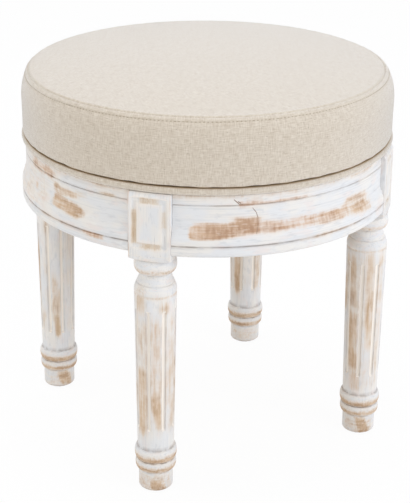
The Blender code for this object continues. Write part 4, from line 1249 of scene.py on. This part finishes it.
# Rubbed strokes on each leg: their stations give a height and the degrees from the outer face
LEG_STROKES = {
    "front_left": [
        Stroke(0.55, 0.45, [(0.000, -74, 89), (0.021, -54, 74)]),
        Stroke(1.00, 0.40, [(0.000, 5, 62), (0.008, -4, 50), (0.016, -2, 24)], 0.8, 0.5, 0.4),
        Stroke(0.40, 0.45, [(0.075, -52, 98), (0.215, -52, 98)]),
        Stroke(0.54, 0.65, [(0.110, -9, 49), (0.215, -4, 49)]),
        Stroke(0.85, 0.35, [(0.214, -42, -9), (0.226, -48, -9), (0.243, -47, -11)]),
        Stroke(0.80, 0.30, [(0.214, 28, 58), (0.231, 28, 58)], 0.9, 0.7, 0.7),
        Stroke(0.62, 0.35, [(0.170, -48, -18), (0.203, -46, -16)]),
        Stroke(0.85, 0.35, [(0.068, -46, -9), (0.112, -50, -5), (0.154, -46, -7)]),
        Stroke(0.95, 0.35, [(0.075, 20, 42), (0.090, 11, 44), (0.106, 1, 38), (0.128, 1, 28)]),
        Stroke(0.66, 0.50, [(0.140, 4, 40), (0.190, 5, 40), (0.214, 6, 40)]),
        Stroke(0.60, 0.35, [(0.075, 54, 99), (0.125, 54, 103), (0.195, 52, 96)]),
        Stroke(0.75, 0.35, [(0.002, -26, 66), (0.012, -4, 54), (0.022, 4, 44)]),
    ],
    "front_right": [
        Stroke(0.58, 0.40, [(0.000, -144, -16), (0.021, -134, -26)]),
        Stroke(0.42, 0.45, [(0.060, -140, -14), (0.236, -144, -14)]),
        Stroke(0.85, 0.35, [(0.190, -143, -100), (0.231, -149, -105)]),
        Stroke(0.78, 0.35, [(0.160, -139, -96), (0.195, -143, -100)]),
        Stroke(0.90, 0.35, [(0.083, -129, -90), (0.163, -139, -97)]),
        Stroke(0.76, 0.65, [(0.058, -119, -76), (0.085, -128, -88)], 1.0, 0.5),
        Stroke(0.82, 0.35, [(0.108, -74, -42), (0.166, -79, -50), (0.236, -82, -52)]),
        Stroke(0.56, 0.35, [(0.104, -48, -16), (0.233, -46, -12)]),
        Stroke(0.70, 0.35, [(0.101, -66, -23), (0.110, -66, -24)]),
        Stroke(1.00, 0.35, [(0.000, -78, -30), (0.014, -88, -46), (0.024, -98, -62)], 0.8, 0.3, 0.3),
    ],
    "back_left": [
        Stroke(0.40, 0.45, [(0.000, 66, 184), (0.021, 76, 174)]),
        Stroke(0.60, 0.35, [(0.120, 66, 84), (0.136, 66, 84)]),
        Stroke(0.60, 0.35, [(0.150, 68, 86), (0.176, 68, 86)]),
        Stroke(0.68, 0.35, [(0.206, 72, 91), (0.250, 74, 93)]),
        Stroke(0.58, 0.35, [
            (0.080, 99, 126), (0.100, 91, 128), (0.130, 91, 125), (0.150, 92, 113), (0.163, 92, 107)]),
        Stroke(1.00, 0.15, [(0.072, 106, 122), (0.086, 98, 124), (0.104, 95, 118)], 0.6, 0.5, 0.7),
        Stroke(0.36, 0.35, [(0.079, 139, 168), (0.150, 142, 180), (0.250, 144, 182)]),
        Stroke(0.56, 0.35, [(0.078, 46, 70), (0.110, 46, 74)]),
        Stroke(1.00, 0.35, [(0.003, 120, 172), (0.015, 106, 160), (0.024, 102, 148)], 0.8, 0.4, 0.3),
    ],
    "back_right": [
        Stroke(0.40, 0.45, [(0.000, 106, 264), (0.021, 116, 254)]),
        Stroke(1.00, 0.35, [(0.072, 151, 174), (0.105, 144, 174), (0.250, 144, 174)]),
        Stroke(0.60, 0.35, [(0.070, -136, -114), (0.099, -133, -100), (0.250, -133, -91)]),
        Stroke(0.56, 0.35, [(0.086, -178, -143), (0.096, -178, -143)]),
        Stroke(0.60, 0.35, [(0.004, 146, 170), (0.024, 134, 156)]),
    ],
}
# Degrees by which each leg's flutes are turned away from the middle of its outer face
FLUTE_TURNS = {"front_left": -3.0, "front_right": 1.0, "back_left": -6.0, "back_right": -3.0}
# Side of each leg that the photograph doesn't show, in degrees from the outer face
HIDDEN_SIDES = {
    "front_left": (110, 280), "front_right": (20, 200), "back_left": (200, 390), "back_right": (-80, 120),
}
# How far each leg's block is worn
BLOCK_WEAR = {"front_left": 1.0, "front_right": 0.60, "back_right": 0.8, "back_left": 0.7}
# Painted shade on each block, laid on as a thin film of dark glaze
BLOCK_PAINTED_SHADE = {"front_left": 0.0, "front_right": 0.12, "back_right": 0.06, "back_left": 0.04}
# Rubbed lengths of the block's panel groove: from, to and strength
PANEL_STROKES = {
    "left": (0.2965, 0.3340, 0.80), "right": (0.3160, 0.3350, 0.62),
    "top": (-0.0095, 0.0090, 0.62), "bottom": (-0.0095, 0.0120, 0.72),
}
PANEL_STROKE_START = -0.004
PANEL_STROKE_FULL = 0.002
PANEL_CREAM = 0.6
PANEL_CREAM_WIDTH = 0.0011
BLOCK_HUE = 0.55
GROOVE_HUE = 0.10
EDGE_HUE = 0.95
# Wear of the block's edges: strength, and where it starts and is full
CORNER_WEAR = 0.30
SIDE_WEAR = 0.42
SIDE_SPAN = (-BLOCK_HALF + 0.0020, -BLOCK_HALF + 0.0006)
UPPER_WEAR = 0.75
UPPER_SPAN = (BASE_TOP_Z - 0.020, BASE_TOP_Z - 0.012)
TIP_WEAR = 0.60
TIP_SPAN = (BLOCK_Z + 0.012, BLOCK_Z + 0.004)
TOP_WEAR = 0.20
TOP_SPAN = (BASE_TOP_Z - 0.0022, BASE_TOP_Z - 0.0004)
POMMEL_WEAR = 0.25
POMMEL_SPAN = (BLOCK_Z + 0.001, BLOCK_Z - 0.004)
# Rubbed bands round the turned part: height, half width and strength
RUBBED_BANDS = (
    (RING_LOW_Z + LOW_RING_HEIGHT * 0.30, LOW_RING_HEIGHT * 0.34, 1.00),
    (RING_HIGH_Z + HIGH_RING_HEIGHT * 0.27, HIGH_RING_HEIGHT * 0.32, 1.05),
    (COLLAR_LOW_Z + COLLAR_HEIGHT * 0.20, 0.0040, 0.62),
    (SHAFT_TOP_Z - LINE_DROP, 0.0022, 0.52),
    (FOOT_Z, 0.0030, 0.60),
)
# Lines of dark glaze round the turned part, and a painted contact shadow at the foot: height, half width and
# strength
GLAZED_AND_SHADED_LINES = (
    (RING_LOW_Z, 0.0009, 0.45),
    (RING_HIGH_Z, 0.0010, 0.55),
    (SHAFT_LOW_Z, 0.0009, 0.40),
    (SHAFT_TOP_Z + CREASE_RISE, 0.0006, 0.22),
    (COLLAR_LOW_Z, 0.0010, 0.30),
    (COLLAR_TOP_Z, 0.0010, 0.12),
    # Painted contact shadow at the foot's bottom edge
    (FOOT_Z, 0.0016, 0.40),
)
# Undercoat in the flutes, and painted shade along their edges, in shares of a flute's half width
FLUTE_CREAM_SPAN = (0.40, 0.95)
FLUTE_PAINT_LEFT = 0.85
FLUTE_EDGE_SHADE = 0.22
FLUTE_EDGE_SHADE_WIDTH = 0.22


# Strokes on the hidden sides: the least and the most of each measure
HIDDEN_LENGTH = (0.035, 0.080)
HIDDEN_LEAN = (-6, 6)
HIDDEN_HALF_WIDTH = (13, 20)
HIDDEN_STRENGTH = (0.60, 1.0)
HIDDEN_HUE = (0.2, 0.7)
HIDDEN_MARGIN = 0.010


def hidden_strokes(place, generator):
    """Strokes of the same kind on the lands that the photograph doesn't show."""
    first, last = HIDDEN_SIDES[place]
    pitch = 360 / FLUTE_COUNT
    lowest = FLUTE_LOW_Z - HIDDEN_MARGIN
    strokes = [
        Stroke(0.38, 0.45, [(lowest, first, last), (SHAFT_TOP_Z - HIDDEN_MARGIN, first, last)]),
        Stroke(0.58, 0.40, [(FOOT_Z, first, last), (RING_LOW_Z, first, last)]),
    ]
    for land in np.arange(math.ceil(first / pitch), last / pitch):
        middle = (land + 0.5) * pitch
        low = generator.uniform(lowest, SHAFT_TOP_Z - HIDDEN_LENGTH[1])
        high = low + generator.uniform(*HIDDEN_LENGTH)
        lean = generator.uniform(*HIDDEN_LEAN)
        half = generator.uniform(*HIDDEN_HALF_WIDTH)
        strength = generator.uniform(*HIDDEN_STRENGTH)
        stations = [
            (low, middle - half + lean, middle + half + lean),
            (high, middle - half - lean, middle + half - lean)]
        strokes.append(Stroke(strength, generator.uniform(*HIDDEN_HUE), stations))
    return strokes


def shaft_finish(angles, height, strokes, turn):
    """Rub, glaze, cream and redness of the turned part, with painted shade at the flutes' edges and a painted
    contact shadow at the foot laid on as glaze.
    """
    degrees = np.degrees(angles)

    def around(stroke):
        middle = np.mean([station[1:] for station in stroke.stations])
        return (degrees - middle + 180) % 360 - 180 + middle

    rub, hue = rubbed(strokes, height, around, STROKE_EDGE_DEGREES, STROKE_END)
    fluted = (height > FLUTE_LOW_Z) & (height < FLUTE_TOP_Z)
    offset = np.abs(flute_offset(angles - turn)) / math.asin(FLUTE_HALF / SHAFT_TOP_RADIUS)
    cream = fluted * (1 - smoothstep(*FLUTE_CREAM_SPAN, offset))
    rub = rub * (1 - FLUTE_PAINT_LEFT * cream)
    # Painted shade along the flutes' edges, laid on as glaze
    glaze_and_shade = fluted * FLUTE_EDGE_SHADE * bell(offset - 1, FLUTE_EDGE_SHADE_WIDTH)
    for level, width, strength in RUBBED_BANDS:
        rub = np.maximum(rub, strength * bell(height - level, width))
    for level, width, strength in GLAZED_AND_SHADED_LINES:
        glaze_and_shade = np.maximum(glaze_and_shade, strength * bell(height - level, width))
    return rub, glaze_and_shade, cream, hue


def block_finish(points, mirror, wear, painted_shade):
    """Rub, painted shade laid on as glaze, cream and redness of the square block, with strokes in the groove
    of its outer face.
    """
    x, y, z = points[..., 0], points[..., 1] * mirror, points[..., 2]
    rub = np.full_like(z, PLAIN_RUB)
    hue = np.full_like(z, BLOCK_HUE)
    _, distance = panel_depth(y, z)
    on_face = x > BLOCK_HALF - PANEL_GROOVE_DEPTH * 1.2
    groove = on_face * (1 - smoothstep(0.70, 1.65, distance / PANEL_GROOVE_HALF))
    sides = {
        "left": (np.abs(y + PANEL_HALF), z), "right": (np.abs(y - PANEL_HALF), z),
        "top": (np.abs(z - PANEL_HIGH_Z), y), "bottom": (np.abs(z - PANEL_LOW_Z), y),
    }
    for side, (low, high, strength) in PANEL_STROKES.items():
        near, along = sides[side]
        inside = np.minimum(along - low, high - along)
        within = smoothstep(PANEL_STROKE_START, PANEL_STROKE_FULL, inside)
        here = (near < PANEL_GROOVE_HALF * 1.7) * groove * within
        rub = np.maximum(rub, strength * wear * here)
        hue = hue * (1 - here) + GROOVE_HUE * here
    cream = on_face * PANEL_CREAM * bell(distance - PANEL_GROOVE_HALF * 1.2, PANEL_CREAM_WIDTH)
    corner = np.minimum(np.abs(x), np.abs(y)) - (BLOCK_HALF - BLOCK_EDGE * 2.2)
    side_edge = smoothstep(*SIDE_SPAN, y) * (x > 0)
    worn = np.max([
        CORNER_WEAR * smoothstep(0.0, BLOCK_EDGE, corner),
        SIDE_WEAR * side_edge,
        UPPER_WEAR * side_edge * smoothstep(*UPPER_SPAN, z),
        TIP_WEAR * side_edge * smoothstep(*TIP_SPAN, z),
        TOP_WEAR * smoothstep(*TOP_SPAN, z),
        POMMEL_WEAR * smoothstep(*POMMEL_SPAN, z)], axis=0)
    hue = np.where(side_edge > 0.3, EDGE_HUE, hue)
    # The block's glaze is its painted shade
    return np.maximum(rub, wear * worn), np.full_like(rub, painted_shade), cream, hue


def grain_height(height):
    """Height as the wear sees it: drawn out on the turned ends, where the rubbing ran round the leg."""
    levels = np.array([FOOT_Z, SHAFT_LOW_Z, SHAFT_TOP_Z, BLOCK_Z, BASE_TOP_Z])
    steps = np.diff(levels) * (TURNED_STRETCH, 1.0, TURNED_STRETCH, 1.0)
    places = np.concatenate([[0.0], np.cumsum(steps)])
    return np.interp(height, levels, places - places[1] + SHAFT_LOW_Z)


# How far the grain's pattern is moved on from one leg, or one rail, to the next
LEG_GRAIN_STEP = (1.7, 0.31)
RAIL_GRAIN_STEP = (1.3, 0.37)


def build_leg(place, angle, number, painted):
    turn = math.radians(FLUTE_TURNS[place])
    rows = leg_rows(turn)
    turned_count = len(leg_turning())
    x, y, height = np.moveaxis(rows, -1, 0)
    strokes = LEG_STROKES[place] + hidden_strokes(place, np.random.default_rng(20 + number))
    shaft = shaft_finish(np.arctan2(y, x), height, strokes, turn)
    block = block_finish(rows, (-1) ** number, BLOCK_WEAR[place], BLOCK_PAINTED_SHADE[place])
    finish = [np.concatenate([low[:turned_count], high[turned_count:]]) for low, high in zip(shaft, block)]
    grain = stacked(grain_height(height) + number * LEG_GRAIN_STEP[0], x + number * LEG_GRAIN_STEP[1], y)
    drawn_in = np.clip((np.arange(len(rows)) - turned_count) / (POMMEL_ROWS - 1), 0.0, 1.0)
    lean = BLOCK_LEAN * smoothstep(BASE_TOP_Z - BLOCK_LEAN_HEIGHT, BASE_TOP_Z, height)
    set_back = BLOCK_SET_BACK * drawn_in[:, None] + lean
    shape = stacked(LEG_RADIUS + x - set_back * np.maximum(x, 0.0) / BLOCK_HALF, y, height)
    mesh = grid_mesh(f"turned_leg_{place}", turned_about(shape, angle))
    add_painted(f"turned_leg_{place}", mesh, painted, grain, np.stack(finish, axis=-1), f"leg_{place}")


# Apron rails

def rail_section():
    """Moulded section of the apron from the top inner edge, down the outer side and back up inside."""
    swell_low = BEAD_TOP_Z + GROOVE_WIDTH / 2 + APRON_SWELL_RISE
    swell_high = swell_low + APRON_SWELL_HEIGHT
    curve = (APRON_SETBACK, APRON_SWELL_HEIGHT / 2)
    dip = [(0.0, 1.0), (0.55, 0.5), (1.0, 0.0), (0.55, -0.5), (0.0, -1.0)]
    upper = [(APRON_TOP_RADIUS - GROOVE_DEPTH * d, STRIP_LOW_Z + GROOVE_WIDTH / 2 * h) for d, h in dip]
    lower = [(APRON_RADIUS - GROOVE_DEPTH * d, BEAD_TOP_Z + GROOVE_WIDTH / 2 * h) for d, h in dip]
    top_edge = arc(
        (APRON_TOP_RADIUS - APRON_EDGE, BASE_TOP_Z - APRON_EDGE), (APRON_EDGE, APRON_EDGE), 90, 0, 4)
    strip = [(APRON_TOP_RADIUS, z) for z in np.linspace(BASE_TOP_Z - APRON_EDGE, upper[0][1], 5)[1:-1]]
    flat = [(APRON_TOP_RADIUS, z) for z in np.linspace(upper[-1][1], swell_high, 5)[1:-1]]
    hollow = arc((APRON_RADIUS, swell_high), curve, 180, 240, 9)
    swelling = arc((APRON_TOP_RADIUS, swell_low), curve, 60, 0, 10)
    fall = [(APRON_RADIUS, z) for z in np.linspace(swell_low, lower[0][1], 4)[1:-1]]
    bead = arc((APRON_RADIUS - BEAD_ROUND, APRON_LOW_Z + BEAD_ROUND), (BEAD_ROUND, BEAD_ROUND), 0, -90, 9)
    bead_face = [(APRON_RADIUS, z) for z in np.linspace(lower[-1][1], bead[0][1], 4)[1:-1]]
    under = [(r, APRON_LOW_Z) for r in np.linspace(bead[-1][0], APRON_INNER_RADIUS, 5)[1:]]
    inside = [(APRON_INNER_RADIUS, z) for z in np.linspace(APRON_LOW_Z, BASE_TOP_Z, 9)[1:]]
    return np.array([
        *top_edge, *strip, *upper, *flat, *hollow, *swelling[1:], *fall, *lower, *bead_face, *bead,
        *under, *inside])


# Rubbed strokes on each rail: their stations give a place along from its middle and the heights
RAIL_STROKES = {
    "front": [
        Stroke(1.00, 0.75, [
            (-0.126, 0.3070, 0.3180), (-0.120, 0.3053, 0.3210), (-0.095, 0.3060, 0.3240),
            (-0.080, 0.3076, 0.3252), (-0.065, 0.3101, 0.3293), (-0.047, 0.3101, 0.3262)], 0.6, 0.15, 0.6),
        Stroke(0.74, 0.90, [
            (-0.056, 0.3098, 0.3268), (-0.035, 0.3089, 0.3224), (-0.018, 0.3099, 0.3207),
            (0.000, 0.3087, 0.3234), (0.021, 0.3102, 0.3229)]),
        Stroke(0.88, 0.75, [(0.016, 0.3090, 0.3215), (0.062, 0.3085, 0.3195)], 1.0, 0.8, 0.5),
        Stroke(0.72, 0.55, [
            (0.048, 0.3095, 0.3200), (0.065, 0.3078, 0.3280), (0.080, 0.3060, 0.3306),
            (0.096, 0.3055, 0.3282), (0.108, 0.3040, 0.3220)]),
        Stroke(0.95, 0.45, [
            (0.066, 0.3077, 0.3210), (0.097, 0.3052, 0.3195), (0.106, 0.3043, 0.3150)], 1.0, 0.6),
        Stroke(0.30, 0.95, [(0.065, 0.3310, 0.3360), (0.095, 0.3260, 0.3340)]),
        Stroke(1.00, 1.00, [(-0.0735, 0.3408, 0.3455), (-0.050, 0.3412, 0.3455)], 0.3, 0.15, 0.8),
        Stroke(0.70, 0.95, [(-0.055, 0.3412, 0.3455), (0.010, 0.3415, 0.3450)], 0.5),
        Stroke(0.34, 0.80, [(-0.076, 0.3440, 0.3500), (-0.020, 0.3440, 0.3500)]),
        Stroke(0.30, 0.80, [(-0.120, 0.3262, 0.3300), (-0.070, 0.3270, 0.3320)]),
        Stroke(0.50, 0.55, [(-0.010, 0.2960, 0.2995), (0.026, 0.2950, 0.3005), (0.080, 0.2965, 0.2995)], 0.5),
        Stroke(0.65, 0.70, [(0.122, 0.2970, 0.3015), (0.138, 0.2970, 0.3015)], 0.5, 0.5),
    ],
    "left": [
        Stroke(0.95, 0.45, [
            (0.0310, 0.3135, 0.3195), (0.0420, 0.3108, 0.3275), (0.0548, 0.3093, 0.3250),
            (0.0690, 0.3076, 0.3220), (0.0788, 0.3078, 0.3203), (0.0860, 0.3105, 0.3180)], 0.9, 0.4, 0.5),
        Stroke(0.35, 0.60, [(0.078, 0.3130, 0.3225), (0.092, 0.3160, 0.3210)]),
        Stroke(0.90, 0.35, [(0.034, 0.3290, 0.3390), (0.046, 0.3300, 0.3385)], 0.8, 0.4, 0.6),
        Stroke(1.00, 0.35, [
            (0.042, 0.3290, 0.3352), (0.067, 0.3294, 0.3358), (0.086, 0.3328, 0.3380)], 0.6, 0.4, 0.8),
        Stroke(0.64, 0.60, [(0.036, 0.3220, 0.3330), (0.052, 0.3230, 0.3330)]),
        Stroke(0.70, 0.25, [(0.106, 0.3408, 0.3455), (0.128, 0.3408, 0.3450)], 0.5, 0.8, 0.3),
        Stroke(0.92, 0.85, [(0.083, 0.2955, 0.2985), (0.1035, 0.2925, 0.2985), (0.1145, 0.2930, 0.2980)],
               0.4, 0.8, 0.2),
        Stroke(0.74, 0.75, [
            (-0.024, 0.3400, 0.3480), (-0.003, 0.3400, 0.3520), (0.022, 0.3395, 0.3520),
            (0.039, 0.3410, 0.3480)]),
        Stroke(0.75, 0.50, [(-0.014, 0.3150, 0.3260), (-0.003, 0.3140, 0.3230)], 0.8, 0.4, 0.4),
        Stroke(0.30, 0.40, [(0.115, 0.3165, 0.3190), (0.126, 0.3165, 0.3190)], 0.5),
        Stroke(0.45, 0.60, [(0.000, 0.2960, 0.2995), (0.075, 0.2960, 0.2995)], 0.5),
        Stroke(0.34, 0.50, [(-0.100, 0.3010, 0.3390), (0.025, 0.3010, 0.3390)]),
    ],
    "right": [
        Stroke(0.95, 0.55, [
            (-0.100, 0.3070, 0.3230), (-0.050, 0.3050, 0.3260), (0.000, 0.3090, 0.3240)], 0.6, 0.4),
        Stroke(0.60, 0.65, [(0.035, 0.3140, 0.3320), (0.085, 0.3100, 0.3240)]),
        Stroke(0.80, 0.80, [(-0.005, 0.2925, 0.2985), (0.040, 0.2920, 0.2985)], 0.4),
        Stroke(0.55, 0.80, [(0.070, 0.3423, 0.3453), (0.115, 0.3423, 0.3453)], 0.5),
        Stroke(0.45, 0.60, [(-0.120, 0.2960, 0.2995), (-0.040, 0.2960, 0.2995)], 0.5),
    ],
    "back": [
        Stroke(0.95, 0.60, [
            (-0.035, 0.3080, 0.3240), (0.030, 0.3060, 0.3270), (0.095, 0.3100, 0.3250)], 0.6, 0.3),
        Stroke(0.60, 0.50, [(-0.115, 0.3120, 0.3300), (-0.070, 0.3160, 0.3340)]),
        Stroke(0.85, 0.85, [(-0.065, 0.2925, 0.2985), (-0.025, 0.2920, 0.2985)], 0.4),
        Stroke(0.50, 0.75, [(-0.060, 0.3423, 0.3453), (0.020, 0.3423, 0.3453)], 0.5),
        Stroke(0.45, 0.60, [(0.040, 0.2960, 0.2995), (0.110, 0.2960, 0.2995)], 0.5),
    ],
}


# Rub on the strip under the linen: partly wear, partly painted shade and warm bounce from the linen ring
UNDER_LINEN_WEAR_AND_SHADE = 0.42
UNDER_LINEN_SPAN = (BASE_TOP_Z - 0.0095, BASE_TOP_Z - 0.0005)
LOW_EDGE_WEAR = 0.30
LOW_EDGE_RISE = 0.0006
LOW_EDGE_WIDTH = 0.0010
INSIDE_RUB = 0.40
# Painted shadow of the linen ring on the strip below it, laid on as a thin glaze
STRIP_PAINTED_SHADOW = 0.07
# Dark glaze in the rails' grooves: height, half width and strength
GLAZED_GROOVES = ((STRIP_LOW_Z, 0.0007, 0.45), (BEAD_TOP_Z, 0.0010, 0.55))


def rail_finish(along, radius, height, strokes):
    """Rub, glaze, cream and redness of a rail, with painted shade of the linen ring on the strip below it in
    both rub and glaze.
    """
    outer = radius > APRON_TOP_RADIUS - 2 * GROOVE_DEPTH
    rub, hue = rubbed(strokes, along, lambda stroke: height, STROKE_EDGE, STROKE_END)
    # Under the linen: wear, and painted shade of the ring
    rub = np.maximum(rub, UNDER_LINEN_WEAR_AND_SHADE * smoothstep(*UNDER_LINEN_SPAN, height))
    rub = np.maximum(rub, LOW_EDGE_WEAR * bell(height - APRON_LOW_Z - LOW_EDGE_RISE, LOW_EDGE_WIDTH))
    rub = np.where(outer, rub, INSIDE_RUB)
    # Painted shadow of the linen ring on the strip, in the glaze
    glaze_and_shade = STRIP_PAINTED_SHADOW * smoothstep(STRIP_LOW_Z, BASE_TOP_Z, height)
    for level, width, strength in GLAZED_GROOVES:
        glaze_and_shade = np.maximum(glaze_and_shade, strength * bell(height - level, width))
    return rub, glaze_and_shade * outer, np.zeros_like(rub), hue


def build_rail(place, angle, number, painted):
    section = rail_section()
    radius, height = [np.repeat(section[:, axis:axis + 1], RAIL_COLUMNS, axis=1) for axis in (0, 1)]
    half_span = math.pi / 4 - np.arcsin(RAIL_SHOULDER / radius)
    around = np.linspace(-1, 1, RAIL_COLUMNS)[None, :] * half_span
    along = around * APRON_RADIUS
    finish = rail_finish(along, radius, height, RAIL_STROKES[place])
    grain = stacked(along + number * RAIL_GRAIN_STEP[0], height + number * RAIL_GRAIN_STEP[1], radius)
    points = round_points(radius, angle + around, height)
    grid, grain, finish = [values.swapaxes(0, 1) for values in (points, grain, np.stack(finish, axis=-1))]
    mesh = grid_mesh(f"moulded_rail_{place}", grid)
    mend_faces(mesh)
    add_painted(f"moulded_rail_{place}", mesh, painted, grain, finish, f"apron_rail_{place}")


# Finishes of the CAD nodes that stay

def dress_nodes():
    plywood = plywood_finish("plywood_boards")
    zinc = zinc_finish("zinc_plated_steel")
    felt = felt_finish("felt_pads")
    corner_wood = {
        place: bare_wood_finish(f"corner_wood_{place}", angle) for place, angle in LEG_ANGLES.items()}
    for name, node in NODES.items():
        if name.startswith("corner_block_"):
            finish = corner_wood[name.removeprefix("corner_block_")]
        elif name.endswith("_board"):
            finish = plywood
        elif name.startswith("foot_pad_"):
            finish = felt
        else:
            finish = zinc
        node.data.materials.clear()
        node.data.materials.append(finish)


# Camera, floor and light

def add_camera():
    """The photograph's camera: its optical axis meets the image above the middle, so the lens is shifted."""
    place = np.array([
        0.0, -CAMERA_DISTANCE * math.cos(CAMERA_RISE), CAMERA_DISTANCE * math.sin(CAMERA_RISE) + AIM_HEIGHT])
    forward = np.array([
        math.sin(CAMERA_YAW) * math.cos(CAMERA_PITCH), math.cos(CAMERA_YAW) * math.cos(CAMERA_PITCH),
        -math.sin(CAMERA_PITCH)])
    right = np.array([math.cos(CAMERA_YAW), -math.sin(CAMERA_YAW), 0.0])
    up = np.cross(right, forward)
    rolled_right = right * math.cos(CAMERA_ROLL) + up * math.sin(CAMERA_ROLL)
    rolled_up = up * math.cos(CAMERA_ROLL) - right * math.sin(CAMERA_ROLL)
    axes = np.stack([rolled_right, rolled_up, -forward], axis=-1)
    matrix = Matrix(axes.tolist()).to_4x4()
    matrix.translation = Vector(place)
    data = bpy.data.cameras.new("camera")
    data.sensor_width = SENSOR
    data.lens = FOCAL_PIXELS * SENSOR / IMAGE_HEIGHT
    data.shift_y = (OPTICAL_ROW - IMAGE_HEIGHT / 2) / IMAGE_HEIGHT
    camera = bpy.data.objects.new("camera", data)
    bpy.context.scene.collection.objects.link(camera)
    camera.matrix_world = Matrix.Rotation(CAMERA_TURN, 4, "Z") @ matrix
    bpy.context.scene.camera = camera


FLOOR_SIZE = 30.0
FLOOR_SHADE = (0.90, 0.90, 0.90, 1.0)
FLOOR_GLOW = 0.95
WORLD_STRENGTH = 0.68


def seen_directly(nodes):
    """1 for rays from the camera and for mirror or glass rays, 0 for light that falls on the object."""
    rays = nodes.node("ShaderNodeLightPath").outputs
    mirrored = nodes.math("MAXIMUM", rays["Is Camera Ray"], rays["Is Glossy Ray"])
    return nodes.math("MAXIMUM", mirrored, rays["Is Transmission Ray"])


def add_floor():
    """A pale floor that keeps the shadow but is near white to the camera."""
    half = FLOOR_SIZE / 2
    mesh = bpy.data.meshes.new("floor")
    corners = [(-half, -half, 0), (half, -half, 0), (half, half, 0), (-half, half, 0)]
    mesh.from_pydata(corners, [], [(0, 1, 2, 3)])
    material = bpy.data.materials.new("studio_floor")
    material.use_nodes = True
    nodes = Nodes(material.node_tree)
    nodes.tree.nodes.clear()
    matt = nodes.node("ShaderNodeBsdfDiffuse", {"Color": FLOOR_SHADE}).outputs[0]
    glow = nodes.node("ShaderNodeEmission", {"Color": WHITE}).outputs[0]
    share = nodes.math("MULTIPLY", seen_directly(nodes), FLOOR_GLOW)
    mix = nodes.node("ShaderNodeMixShader", {0: share, 1: matt, 2: glow}).outputs[0]
    nodes.node("ShaderNodeOutputMaterial", {"Surface": mix})
    mesh.materials.append(material)
    floor = bpy.data.objects.new("floor", mesh)
    bpy.context.scene.collection.objects.link(floor)


def add_world():
    """White to the camera, and dimmer as the light on the object."""
    world = bpy.data.worlds.new("studio")
    world.use_nodes = True
    nodes = Nodes(world.node_tree)
    sockets = {"Value": seen_directly(nodes), "To Min": WORLD_STRENGTH, "To Max": 1.0}
    strength = nodes.node("ShaderNodeMapRange", sockets).outputs["Result"]
    back = nodes.tree.nodes["Background"].inputs
    nodes.put(back["Color"], WHITE)
    nodes.put(back["Strength"], strength)
    bpy.context.scene.world = world


# Soft boxes: degrees to the right of the camera, distance, height, size, power and shade, aimed at the seat
LAMPS = {
    "box_above": (-140.0, 0.5, 2.7, 2.2, 24.0, (0.93, 0.98, 1.08)),
    "box_right": (55.0, 2.6, 1.5, 1.8, 29.0, (0.95, 1.0, 1.10)),
    "box_left": (-70.0, 2.6, 1.3, 1.8, 11.0, (1.04, 1.0, 0.93)),
}
LAMP_AIM = Vector((0.0, 0.0, 0.3))


def add_lamps():
    facing = CAMERA_TURN - math.pi / 2
    for name, (right, distance, height, size, power, shade) in LAMPS.items():
        data = bpy.data.lights.new(name, "AREA")
        data.shape = "DISK"
        data.size = size
        data.energy = power
        data.color = shade
        lamp = bpy.data.objects.new(name, data)
        bpy.context.scene.collection.objects.link(lamp)
        around = facing + math.radians(right)
        lamp.location = (distance * math.cos(around), distance * math.sin(around), height)
        lamp.rotation_euler = (LAMP_AIM - lamp.location).to_track_quat("-Z", "Y").to_euler()


def main():
    linen = linen_finish("woven_linen")
    painted_legs = painted_wood_finish(
        "rubbed_white_legs", banding=0.15, raggedness=0.15, marks=LEG_MARKS, mark_axes=(1.0, 1.0, 1.0))
    painted_rails = painted_wood_finish(
        "rubbed_white_rails", banding=0.50, raggedness=0.20, marks=RAIL_MARKS, mark_axes=(1.0, 1.0, 0.0))
    dress_nodes()
    build_cushion(linen, thread_finish("sewing_thread"))
    build_wrap(linen)
    for number, (place, angle) in enumerate(LEG_ANGLES.items()):
        build_leg(place, angle, number, painted_legs)
    for number, (place, angle) in enumerate(RAIL_ANGLES.items()):
        build_rail(place, angle, number, painted_rails)
    add_camera()
    add_floor()
    add_world()
    add_lamps()
    bpy.context.scene.view_settings.view_transform = "Standard"


main()
